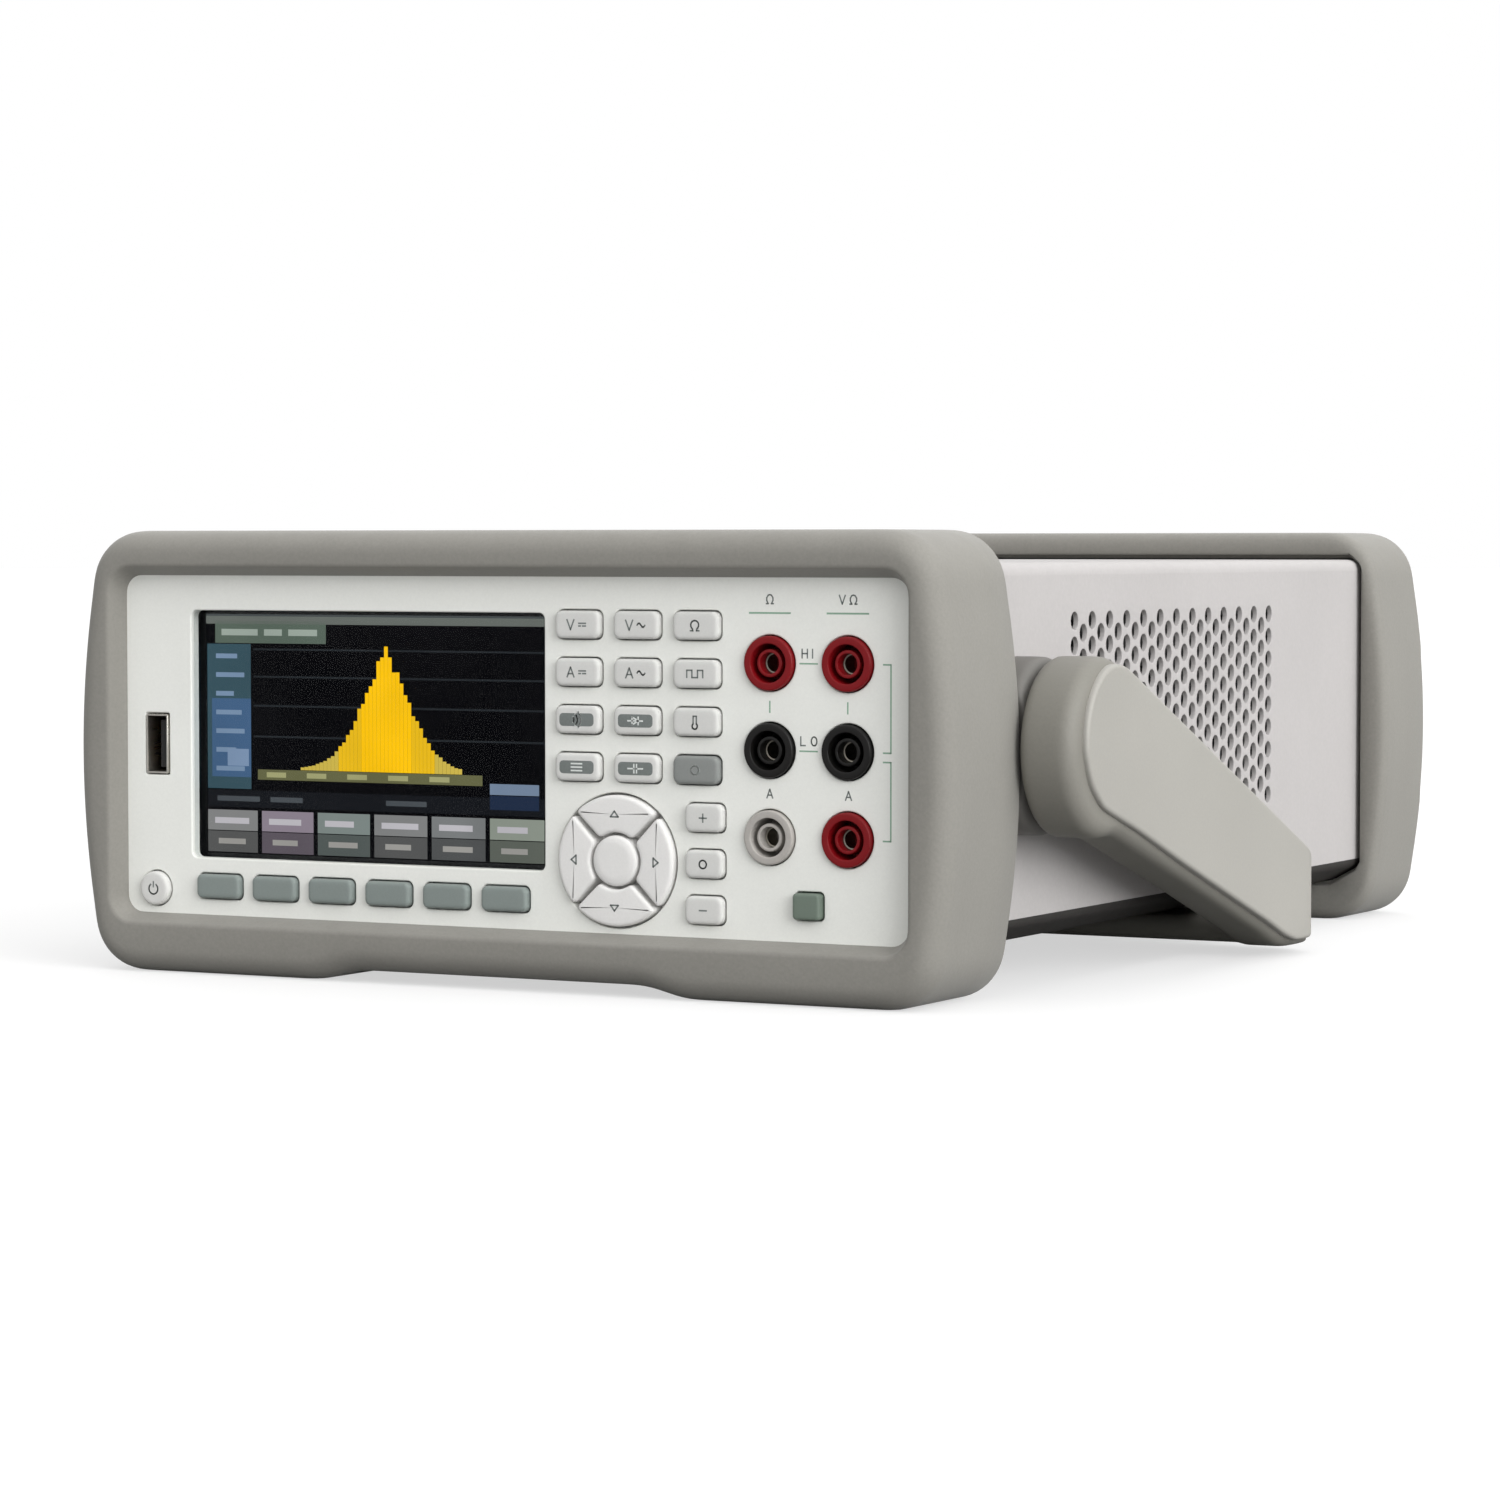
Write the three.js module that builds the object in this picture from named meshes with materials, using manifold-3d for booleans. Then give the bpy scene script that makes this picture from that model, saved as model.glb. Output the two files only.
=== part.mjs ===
// Bench digital multimeter, built as an assembly of separate solids.
// Millimetres, +Z up. The front panel faces -Y and +X is to the right of a person facing it.
// The origin is the centre of the footprint on the bench: mid-width, mid-depth, z = 0 at the feet.
// Pieces are placed by their distance y behind the front; the assembly group centres the depth.
import * as THREE from "three";
import { mergeVertices } from "three/addons/utils/BufferGeometryUtils.js";
import Module from "manifold-3d";

const wasm = await Module();
wasm.setup();

// ---------------------------------------------------------------- driving dimensions
const DEPTH = 303.2; // over both bumpers
const HEIGHT = 103.8; // over the bumpers, feet included
const BUMPER_W = 229.7; // over the bumpers at mid-height
const OVERALL_W = 261.1; // over the handle arms
const CASE_W = 212.6; // metal sleeve
const CASE_Z0 = 10.4; // underside of the sleeve
const CASE_Z1 = 96.6; // top of the sleeve
const SHEET = 1.2; // sleeve sheet
const GAP = 0.3; // clearance between neighbouring pieces
const FACE_Y = 5; // front face of the bezel
const BEZEL_T = 3; // bezel plate thickness
const BEZEL_BACK = FACE_Y + BEZEL_T;
const KEY_TRAVEL = 1.2; // used to place what is behind the keys
const JACK_PITCH = 19.05; // standard spacing of 4 mm sockets
const JACK_MID_Z = 55.6; // middle row of sockets, front and rear
const PIVOT = { y: 52, z: 55.6 }; // axis the handle turns on

// Spans of cutting tools that reach past the pieces they cut
const PAST_BUMPERS_X = [-140, 140];
const PAST_CASE_X = [-120, 120];
const PAST_ALL_Z = [-10, 120];
const THROUGH_BEZEL = [0, 12];
const THROUGH_REAR = [280, 290];

// ---------------------------------------------------------------- materials
const material = (settings) => new THREE.MeshStandardMaterial(settings);
const RUBBER = material({ color: 0x8b8b86, roughness: 0.85 });
const BEZEL = material({ color: 0xdcddd6, roughness: 0.55 });
const PAINT = material({ color: 0xb9b8b4, roughness: 0.6, metalness: 0.1 });
const HANDLE = material({ color: 0xa5a3a0, roughness: 0.6 });
const HUB = material({ color: 0x777571, roughness: 0.7 });
const KEY = material({ color: 0xb4b5b2, roughness: 0.65 });
const KEY_DARK = material({ color: 0x7d807e, roughness: 0.65 });
const SOFTKEY = material({ color: 0x77807d, roughness: 0.65 });
const GLASS = material({ color: 0x101214, roughness: 0.1 });
const LCD = material({ color: 0x05070b, roughness: 0.2 });
const SILICONE = material({ color: 0x8f9290, roughness: 0.9 });
const RED = material({ color: 0x7d0a12, roughness: 0.35 });
const BLACK = material({ color: 0x141414, roughness: 0.35 });
const GREY = material({ color: 0x6d696a, roughness: 0.4 });
const STEEL = material({ color: 0xb9bbbd, roughness: 0.35, metalness: 0.9 });
const PCB = material({ color: 0x1e5a38, roughness: 0.5 });
const CORE = material({ color: 0x5b564f, roughness: 0.6, metalness: 0.4 });
const CONNECTOR = material({ color: 0xc9c9c6, roughness: 0.3, metalness: 1 });
const DARK_PLASTIC = material({ color: 0x1b1b1c, roughness: 0.5 });

// ---------------------------------------------------------------- solids
// A closed geometry as a solid, with its faces turned out.
function solid(geometry) {
  const flat = geometry.index ? geometry.toNonIndexed() : geometry.clone();
  flat.deleteAttribute("normal");
  flat.deleteAttribute("uv");
  const merged = mergeVertices(flat, 1e-4);
  const index = merged.index.array;
  const corners = [];
  for (let i = 0; i < index.length; i += 3) {
    const [first, second, third] = index.slice(i, i + 3);
    if (first !== second && second !== third && first !== third) {
      corners.push(first, second, third);
    }
  }
  const build = () =>
    new wasm.Manifold(
      new wasm.Mesh({
        numProp: 3,
        vertProperties: new Float32Array(merged.attributes.position.array),
        triVerts: new Uint32Array(corners),
      }),
    );
  const built = build();
  if (built.volume() >= 0) return built;
  for (let i = 0; i < corners.length; i += 3) {
    [corners[i + 1], corners[i + 2]] = [corners[i + 2], corners[i + 1]];
  }
  return build();
}

const join = (first, ...rest) => rest.reduce((sum, part) => sum.add(part), first);
const cut = (first, ...tools) => tools.reduce((rest, tool) => rest.subtract(tool), first);
const mirrorX = (part) => part.mirror([1, 0, 0]);

// A solid as a flat-shaded geometry.
function geometryOf(part) {
  const mesh = part.getMesh();
  const indexed = new THREE.BufferGeometry();
  indexed.setAttribute("position", new THREE.BufferAttribute(mesh.vertProperties, 3));
  indexed.setIndex(new THREE.BufferAttribute(mesh.triVerts, 1));
  const geometry = indexed.toNonIndexed();
  geometry.computeVertexNormals();
  return geometry;
}

// Spans are [low, high] pairs; `around` gives the one centred on `middle`.
const around = (middle, half) => [middle - half, middle + half];

// An outline extruded along +Z from 0. A bevel { thickness, size, segments } narrows both ends.
function extrude(outline, length, bevel) {
  const options = bevel
    ? {
        depth: length - 2 * bevel.thickness,
        bevelEnabled: true,
        bevelThickness: bevel.thickness,
        bevelSize: bevel.size,
        bevelOffset: -bevel.size,
        bevelSegments: bevel.segments,
      }
    : { depth: length, bevelEnabled: false };
  const shape = new THREE.Shape(outline.map(([u, v]) => new THREE.Vector2(u, v)));
  const geometry = new THREE.ExtrudeGeometry(shape, { steps: 1, curveSegments: 8, ...options });
  if (bevel) geometry.translate(0, 0, bevel.thickness);
  return geometry;
}
// outline in (x, z)
function prismY(outline, [y0, y1], bevel) {
  const geometry = extrude(outline, y1 - y0, bevel);
  geometry.rotateX(Math.PI / 2);
  geometry.translate(0, y1, 0);
  return solid(geometry);
}
// outline in (y, z)
function prismX(outline, [x0, x1], bevel) {
  const geometry = extrude(outline, x1 - x0, bevel);
  const [alongX, alongY, alongZ] = [[1, 0, 0], [0, 1, 0], [0, 0, 1]].map(
    (axis) => new THREE.Vector3(...axis),
  );
  geometry.applyMatrix4(new THREE.Matrix4().makeBasis(alongY, alongZ, alongX));
  geometry.translate(x0, 0, 0);
  return solid(geometry);
}
// outline in (x, y)
function prismZ(outline, [z0, z1]) {
  const geometry = extrude(outline, z1 - z0);
  geometry.translate(0, 0, z0);
  return solid(geometry);
}
function box([x0, x1], [y0, y1], [z0, z1]) {
  const geometry = new THREE.BoxGeometry(x1 - x0, y1 - y0, z1 - z0);
  geometry.translate((x0 + x1) / 2, (y0 + y1) / 2, (z0 + z1) / 2);
  return solid(geometry);
}
// Turned pieces: [radius, station along the axis] pairs, with the axis through a given place.
const lathe = (profile, segments) =>
  new THREE.LatheGeometry(profile.map((pair) => new THREE.Vector2(...pair)), segments);
function turnedY(profile, { x, z }, segments) {
  const geometry = lathe(profile, segments);
  geometry.translate(x, 0, z);
  return solid(geometry);
}
function turnedX(profile, { y, z }, segments) {
  const geometry = lathe(profile, segments);
  geometry.rotateZ(-Math.PI / 2); // the lathe's axis, +Y, turns to +X
  geometry.translate(0, y, z);
  return solid(geometry);
}
const rodProfile = (radius, [start, end]) => [[0, start], [radius, start], [radius, end], [0, end]];
const rodY = (radius, span, place, segments) =>
  turnedY(rodProfile(radius, span), place, segments);
const rodX = (radius, span, place, segments) =>
  turnedX(rodProfile(radius, span), place, segments);
function rodZ(radius, [z0, z1], { x, y }, segments) {
  const geometry = new THREE.CylinderGeometry(radius, radius, z1 - z0, segments);
  geometry.rotateX(Math.PI / 2);
  geometry.translate(x, y, (z0 + z1) / 2);
  return solid(geometry);
}

// ---------------------------------------------------------------- outlines
const radians = (degrees) => (degrees * Math.PI) / 180;
const arcPoint = (u, v, radius, degrees) => [
  u + radius * Math.cos(radians(degrees)),
  v + radius * Math.sin(radians(degrees)),
];
// A right-hand half followed by its mirror image, back to the start.
const withMirror = (right) => [...right, ...right.map(([x, z]) => [-x, z]).reverse()];

function roundedRect({ x, z }, width, height, radius, steps = 2) {
  const outline = [];
  for (const [sideX, sideZ, start] of [[1, 1, 0], [-1, 1, 90], [-1, -1, 180], [1, -1, 270]]) {
    const cornerX = x + sideX * (width / 2 - radius);
    const cornerZ = z + sideZ * (height / 2 - radius);
    for (let i = 0; i <= steps; i++) {
      outline.push(arcPoint(cornerX, cornerZ, radius, start + (90 * i) / steps));
    }
  }
  return outline;
}

// The sleeve's section, inset evenly: round at the top, with chamfers along the two lower edges.
const CHAMFER_X = 8;
const CHAMFER_Z = 4.6;
const CASE_R = 3;
const CASE_R_MIN = 0.4; // smallest top radius of an inset section
function caseOutline(inset) {
  const halfWidth = CASE_W / 2 - inset;
  const chamferStart = CASE_W / 2 - CHAMFER_X;
  const slope = Math.hypot(CHAMFER_X, CHAMFER_Z);
  const chamferTop =
    CASE_Z0 + (CHAMFER_Z * (halfWidth - chamferStart) + slope * inset) / CHAMFER_X;
  const chamferFoot = chamferStart + (CHAMFER_X * inset - slope * inset) / CHAMFER_Z;
  const radius = Math.max(CASE_R - inset, CASE_R_MIN);
  return withMirror([
    [chamferFoot, CASE_Z0 + inset],
    [halfWidth, chamferTop],
    ...[0, 45, 90].map((degrees) =>
      arcPoint(halfWidth - radius, CASE_Z1 - inset - radius, radius, degrees),
    ),
  ]);
}

// The bumpers' section: sides bowed outwards, round corners, and a relief between the feet.
const BOW = 3.4; // how far the side falls back...
const BOW_RISE = 39; // ...at this height above or below the middle
const BUMPER_R = 13;
const FOOT_RELIEF = [[-48, 0], [-38, 2.6], [38, 2.6], [48, 0]]; // x, z
function bumperOutline() {
  const middle = HEIGHT / 2;
  const side = (z) => BUMPER_W / 2 - BOW * ((z - middle) / BOW_RISE) ** 2;
  const upperZ = HEIGHT - BUMPER_R;
  const cornerX = side(upperZ) - BUMPER_R;
  const corner = (z, angles) =>
    angles.map((degrees) => arcPoint(cornerX, z, BUMPER_R, degrees));
  const sideHeights = [BUMPER_R + 2, 33, middle, HEIGHT - 33, upperZ - 2];
  const right = [
    ...corner(BUMPER_R, [-90, -67.5, -45, -22.5]),
    ...sideHeights.map((z) => [side(z), z]),
    ...corner(upperZ, [22.5, 45, 67.5, 90]),
  ];
  return [...withMirror(right), ...FOOT_RELIEF];
}

// ---------------------------------------------------------------- the assembly
const multimeter = new THREE.Group();
const assembly = new THREE.Group();
assembly.position.y = -DEPTH / 2;
multimeter.add(assembly);
function add(name, part, finish, parent = assembly) {
  const mesh = new THREE.Mesh(geometryOf(part), finish);
  mesh.name = name;
  parent.add(mesh);
}

// ---- front bumper: soft ring over the front of the sleeve, with a sloped lip round the panel
const FRONT_BUMPER_Y1 = 36.5;
const BUMPER_BEVEL = { thickness: 6, size: 5, segments: 3 };
const BUMPER_OVERRUN = 8; // length with the inner bevel, cut off afterwards
const BUMPER_FIT = -0.35; // inset of the sleeve's section that clears the sleeve
add(
  "front_bumper",
  cut(
    prismY(bumperOutline(), [0, FRONT_BUMPER_Y1 + BUMPER_OVERRUN], BUMPER_BEVEL),
    box(PAST_BUMPERS_X, [FRONT_BUMPER_Y1, 60], PAST_ALL_Z),
    prismY(caseOutline(BUMPER_FIT), [FACE_Y - GAP, 60]),
    prismY(
      roundedRect({ x: 0, z: 53.6 }, 209.2, 83.2, 6),
      [-12, FACE_Y + 0.2],
      { thickness: 4.9, size: 1.9, segments: 1 },
    ),
  ),
  RUBBER,
);

// ---- rear bumper: same section, with a deep lip round the connectors and four standing pads
const REAR_BUMPER_Y0 = 270;
const PAD_CUT_Y = [DEPTH - 2, DEPTH + 1];
add(
  "rear_bumper",
  cut(
    prismY(bumperOutline(), [REAR_BUMPER_Y0 - BUMPER_OVERRUN, DEPTH], BUMPER_BEVEL),
    box(PAST_BUMPERS_X, [240, REAR_BUMPER_Y0], PAST_ALL_Z),
    prismY(caseOutline(BUMPER_FIT), [240, 286.3]),
    prismY(
      roundedRect({ x: 0, z: 52.4 }, 196, 77, 8),
      [285, DEPTH + 14],
      { thickness: 12, size: 3, segments: 1 },
    ),
    box([-60, 60], PAD_CUT_Y, PAST_ALL_Z),
    box(PAST_BUMPERS_X, PAD_CUT_Y, [34, 70]),
  ),
  RUBBER,
);

// ---- sleeve: one folded sheet-metal tube with ventilation slots in both sides
const SLEEVE_Y0 = BEZEL_BACK + 0.6;
const SLEEVE_Y1 = 285.8;
const VENT = { count: 13, y: 84, pitch: 10.3, width: 3.4, z: [36.5, 85] };
const vents = [];
for (let i = 0; i < VENT.count; i++) {
  vents.push(box(PAST_CASE_X, around(VENT.y + i * VENT.pitch, VENT.width / 2), VENT.z));
}
const pivotHole = rodX(6.5, PAST_CASE_X, PIVOT, 16);
add(
  "case_sleeve",
  cut(
    prismY(caseOutline(0), [SLEEVE_Y0, SLEEVE_Y1]),
    prismY(caseOutline(SHEET), [SLEEVE_Y0 - 1, SLEEVE_Y1 + 1]),
    ...vents,
    pivotHole,
  ),
  PAINT,
);

// ---- chassis: bent tray inside the sleeve, with posts for the main board
const TRAY_INSET = SHEET + 0.35;
const TRAY_SHEET = 1.5;
const TRAY_TOP = 66;
const TRAY_OPENINGS_Y = [84, 117.2, 150.4, 183.6];
const posts = [-88, 88].flatMap((x) =>
  [46, 150, 254].map((y) => rodZ(3, [12.6, 19.7], { x, y }, 6)),
);
add(
  "chassis_tray",
  join(
    cut(
      prismY(caseOutline(TRAY_INSET), [26.8, 283.2]),
      prismY(caseOutline(TRAY_INSET + TRAY_SHEET), [20, 290]),
      box(PAST_CASE_X, [20, 290], [TRAY_TOP, 120]),
      pivotHole,
      ...TRAY_OPENINGS_Y.map((y) => box(PAST_CASE_X, [y - 2, y + 27], [36.5, 62])),
    ),
    ...posts,
  ),
  STEEL,
);

// ---- front panel layout
const WINDOW = { x: -36.35, z: 56.2, width: 96.2, height: 58 };
const SOFT_X = [0, 1, 2, 3, 4, 5].map((i) => -76.4 + 15.6 * i);
const SOFT_Z = 20.6;
const KEY_X = [20.9, 35.95, 51];
const KEY_Z = [82.7, 72.1, 61.5, 50.9];
const RANGE_X = 53;
const RANGE_Z = [40.4, 30.2, 20];
const NAV = { x: 30.6, z: 30.2, radius: 14.7 };
const SWITCH = { x: 78.6, z: 21.8 };
const POWER = { x: -94.6, z: 19.6, radius: 4 };
const USB = { x: -94.2, z: 53.7 };
const SOFT_CAP = { width: 12, height: 5.6, radius: 1.2 };
const KEY_CAP = { width: 11.4, height: 6.2, radius: 1.4 };
const RANGE_CAP = { width: 9.4, height: 6.2, radius: 1.4 };
const SWITCH_CAP = { width: 6.6, height: 5.8, radius: 0.8 };

// Two columns of three sockets about x, in rows from the top, left one first
const jackPlaces = (x) =>
  [1, 0, -1].flatMap((row) =>
    [-1, 1].map((side) => ({
      x: x + (side * JACK_PITCH) / 2,
      z: JACK_MID_Z + row * JACK_PITCH,
    })),
  );
const FRONT_JACKS = jackPlaces(78.4);

// name, place, cap, material
const CAP_KEYS = [
  ...SOFT_X.map((x, i) => [`softkey_${i + 1}`, { x, z: SOFT_Z }, SOFT_CAP, SOFTKEY]),
  ...KEY_Z.flatMap((z, row) =>
    KEY_X.map((x, column) => [
      `key_row${row + 1}_col${column + 1}`,
      { x, z },
      KEY_CAP,
      row === 3 && column === 2 ? KEY_DARK : KEY,
    ]),
  ),
  ...["up", "auto", "down"].map((word, i) => [
    `range_${word}_key`,
    { x: RANGE_X, z: RANGE_Z[i] },
    RANGE_CAP,
    KEY,
  ]),
  ["front_rear_button", SWITCH, SWITCH_CAP, SOFTKEY],
];

// ---- front bezel: moulded panel with every opening, and a rim that plugs into the sleeve
const RIM_INSET = SHEET + 0.4;
const RIM_T = 2;
const keyHole = (place, { width, height, radius }) =>
  prismY(
    roundedRect(place, width + 2 * GAP, height + 2 * GAP, radius + GAP, 1),
    THROUGH_BEZEL,
  );
add(
  "front_bezel",
  cut(
    join(
      prismY(caseOutline(0.2), [FACE_Y, BEZEL_BACK]),
      cut(
        prismY(caseOutline(RIM_INSET), [FACE_Y + 1, 26]),
        prismY(caseOutline(RIM_INSET + RIM_T), [BEZEL_BACK, 30]),
      ),
    ),
    prismY(roundedRect(WINDOW, WINDOW.width, WINDOW.height, 1.5, 1), THROUGH_BEZEL),
    ...CAP_KEYS.map(([, place, cap]) => keyHole(place, cap)),
    rodY(NAV.radius + 0.5, THROUGH_BEZEL, NAV, 24),
    rodY(POWER.radius + GAP, THROUGH_BEZEL, POWER, 12),
    box(around(USB.x, 3.4), THROUGH_BEZEL, around(USB.z, 7.3)),
    ...FRONT_JACKS.map((place) => rodY(6.3, THROUGH_BEZEL, place, 16)),
  ),
  BEZEL,
);

// ---- display: clear lens seated in the window, with the panel module behind it
add(
  "display_lens",
  join(
    prismY(
      roundedRect(WINDOW, WINDOW.width - 2 * GAP, WINDOW.height - 2 * GAP, 1.2, 1),
      [5.5, 8.6],
    ),
    prismY(roundedRect(WINDOW, 99, 60.6, 1.2, 1), [8.3, 9.5]),
  ),
  GLASS,
);
add(
  "display_module",
  join(
    box([WINDOW.x - 50.6, WINDOW.x + 49.6], [9.8, 13.2], [WINDOW.z - 30.2, WINDOW.z + 30.6]),
    box(around(WINDOW.x, 30), [13, 15.6], around(WINDOW.z, 24)),
  ),
  LCD,
);

// ---- keys: each cap comes through the bezel, with a flange behind it and a stem to the keypad
const CAP_Y = 3.5;
const STEM_Y = 15;
const KEY_SPAN = [CAP_Y, STEM_Y];
const FLANGE_Y = BEZEL_BACK + 0.4;
const FLANGE_SPAN = [FLANGE_Y, FLANGE_Y + 1.2];
const FLANGE_LIP = 1; // flange beyond the cap
const keys = new THREE.Group();
assembly.add(keys);
for (const [name, place, { width, height, radius }, finish] of CAP_KEYS) {
  const cap = prismY(roundedRect(place, width, height, radius, 1), KEY_SPAN);
  const flange = box(
    around(place.x, width / 2 + FLANGE_LIP),
    FLANGE_SPAN,
    around(place.z, height / 2 + FLANGE_LIP),
  );
  add(name, join(cap, flange), finish, keys);
}

// four arrow keys in a ring round a select key
const SLIT_ANGLE = 4.2; // taken off the inner arc so that the slit between two keys stays even
function sector(innerR, outerR, middle, half, steps) {
  const at = (radius, degrees) => arcPoint(NAV.x, NAV.z, radius, degrees);
  const outline = [];
  for (let i = 0; i <= steps; i++) {
    outline.push(at(outerR, middle - half + (2 * half * i) / steps));
  }
  const innerHalf = half - SLIT_ANGLE;
  for (let i = 0; i <= 3; i++) {
    outline.push(at(innerR, middle + innerHalf - (2 * innerHalf * i) / 3));
  }
  return outline;
}
["right", "up", "left", "down"].forEach((word, i) => {
  const cap = prismY(sector(6.4, NAV.radius, 90 * i, 43, 6), KEY_SPAN);
  const flange = prismY(sector(10, NAV.radius + 1.5, 90 * i, 42, 4), FLANGE_SPAN);
  add(`arrow_${word}_key`, join(cap, flange), KEY, keys);
});
add("select_key", rodY(5.7, [CAP_Y - 0.3, STEM_Y], NAV, 20), KEY, keys);
add(
  "power_button",
  join(
    rodY(POWER.radius, KEY_SPAN, POWER, 12),
    rodY(POWER.radius + FLANGE_LIP, FLANGE_SPAN, POWER, 12),
  ),
  KEY,
  keys,
);

// ---- silicone keypad behind the keys, and the board that carries it
const PAD_Y = STEM_Y + KEY_TRAVEL + GAP;
const PAD_BACK = PAD_Y + 1.4;
const PAD_OUTLINE = [ // x, z
  [-96.5, 14.6], [61, 14.6], [61, 88], [14.4, 88], [14.4, 25.2], [-100.5, 25.2], [-100.5, 18.6],
];
const BOARD_T = 1.6; // front and main boards
const PART_SINK = 0.1; // overlap of a component with its board
const FRONT_BOARD_Y = PAD_BACK + GAP;
const FRONT_BOARD_BACK = FRONT_BOARD_Y + BOARD_T;
const FRONT_BOARD_SPAN = [FRONT_BOARD_Y, FRONT_BOARD_BACK];
const frontPart = (x, height, z) =>
  box(x, [FRONT_BOARD_BACK - PART_SINK, FRONT_BOARD_BACK + height], z);
add("keypad_membrane", prismY(PAD_OUTLINE, [PAD_Y, PAD_BACK]), SILICONE);
add(
  "front_board",
  cut(
    join(
      box([-101.5, 101.5], FRONT_BOARD_SPAN, [21, 91]),
      box([-94, 94], FRONT_BOARD_SPAN, [14.6, 22]),
      frontPart([-60, -10], 3.7, [40, 66]),
      frontPart([10, 50], 2.7, [56, 64]),
    ),
    ...FRONT_JACKS.map((place) => rodY(5.5, [10, 30], place, 12)),
  ),
  PCB,
);

// ---- input sockets: insulated ring, recess, contact tube and tail
const JACK_PROFILE = [ // radius, y
  [0, 22], [2.05, 22], [2.05, 4.6], [3.1, 4.6], [3.1, 10], [4.3, 10], [4.3, 3.9],
  [6, 3.9], [6, 8.4], [5.2, 8.4], [5.2, 30], [0, 30],
];
// in the order of FRONT_JACKS
[
  ["jack_sense_hi", RED], ["jack_input_hi", RED],
  ["jack_sense_lo", BLACK], ["jack_input_lo", BLACK],
  ["jack_current_10a", GREY], ["jack_current_3a", RED],
].forEach(([name, finish], i) => add(name, turnedY(JACK_PROFILE, FRONT_JACKS[i], 12), finish));

// ---- host port: steel shell on edge, with its tongue
add(
  "front_usb_port",
  join(
    cut(
      box(around(USB.x, 3.1), [4.8, 17.8], around(USB.z, 7)),
      box(around(USB.x, 2.6), [4, 15.8], around(USB.z, 6.4)),
    ),
    box([USB.x + 0.2, USB.x + 2], [6.4, 16.5], around(USB.z, 5.6)),
  ),
  CONNECTOR,
);

// ---- handle: bail of two tapered arms and a flat grip that tucks under the sleeve
const ARM_X0 = 116; // inner face of an arm
const ARM_X1 = OVERALL_W / 2;
const ARM_END = 186; // y of the grip end
const PIVOT_R = 20.4; // round end of an arm
const pivotArc = [];
for (let degrees = 62; degrees <= 292; degrees += 23) {
  pivotArc.push(arcPoint(PIVOT.y, PIVOT.z, PIVOT_R, degrees));
}
// outlines in y, z
const ARM_OUTLINE = [
  ...pivotArc,
  [72, 31.6], [110, 19.6], [150, 6.6], [157, 3.7], [164, 2.2], [180, 2],
  [ARM_END - 1.5, 3.7], [ARM_END, 8.4], [ARM_END, 16], [ARM_END - 2, 21.5], [178, 26.6],
];
const GUSSET_OUTLINE = [
  [163, 6], [166, 2.6], [180, 2.2], [ARM_END - 1.5, 3.9], [ARM_END, 8.4], [ARM_END, 14],
  [182, 19], [172, 15],
];
const GRIP_OUTLINE = [
  [160, 5.4], [161.4, 3.8], [164.4, 3], [180, 3], [184, 3.8], [ARM_END, 5.6], [ARM_END, 7.2],
  [184, 8.8], [180, 9.4], [164, 9.4], [161.2, 8.6], [160, 7.2],
];
const arm = cut(
  prismX(ARM_OUTLINE, [ARM_X0, ARM_X1], { thickness: 3, size: 3, segments: 1 }),
  rodX(8.4, [100, 125.4], PIVOT, 24),
);
const gusset = prismX(GUSSET_OUTLINE, [107.6, ARM_X0 + 6]);
const grip = prismX(GRIP_OUTLINE, [-118, 118]);
// Rounds the outer corners in plan; the rectangle's z stands for y here.
const PLAN_Y = 100;
const planLimit = prismZ(
  roundedRect({ x: 0, z: PLAN_Y }, OVERALL_W, 2 * (ARM_END - PLAN_Y), 15, 5),
  [-5, 90],
);
add(
  "handle",
  join(arm, mirrorX(arm), gusset, mirrorX(gusset), grip).intersect(planLimit),
  HANDLE,
);

// ---- hubs: bosses on the sides, with the pin each arm turns on and a spigot through the sleeve
const HUB_PROFILE = [ // radius, x
  [0, 101], [6, 101], [6, 106.6], [20, 106.6], [20, 113.8], [18.4, 115.6], [8, 115.6],
  [8, 124.8], [0, 124.8],
];
const hub = cut(
  turnedX(HUB_PROFILE, PIVOT, 20),
  box([106.3, 115.8], [20, FRONT_BUMPER_Y1 + 0.4], [20, 90]), // flat beside the front bumper
);
add("handle_hub_right", hub, HUB);
add("handle_hub_left", mirrorX(hub), HUB);

// ---- rear panel: sheet plate with cut-outs for what stands on it
const PANEL_Y = 283.8;
const FLANGE_REAR = [PANEL_Y + 1.8, PANEL_Y + 4]; // flanges of the inlet and the input block
const BODY_END = PANEL_Y + 2; // rear end of their bodies, inside the flanges
const BODY_GAP = 0.4; // panel clearance round those bodies
const FAN = { x: -28, z: 62, radius: 23 };
const INLET = { x: -76.5, z: 52, halfWidth: 13, halfHeight: 21 };
const BLOCK = { x: 75, z: JACK_MID_Z, halfWidth: 16, halfHeight: 27 };
const BNC_IN = { x: 27, z: 27.5 };
const BNC_OUT = { x: 47, z: 27.5 };
const FUSE = { x: 47, z: 72 };
const GRILLE = { radius: 21, pitch: 6, slotWidth: 4 };
const fanSlots = [];
for (let i = -3; i <= 3; i++) {
  const offset = i * GRILLE.pitch;
  const halfHeight = Math.sqrt(GRILLE.radius ** 2 - offset ** 2);
  fanSlots.push(
    box(
      around(FAN.x + offset, GRILLE.slotWidth / 2),
      around(PANEL_Y, 5),
      around(FAN.z, halfHeight),
    ),
  );
}
const bodyBox = ({ x, z, halfWidth, halfHeight }, span, gap = 0) =>
  box(around(x, halfWidth + gap), span, around(z, halfHeight + gap));
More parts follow.
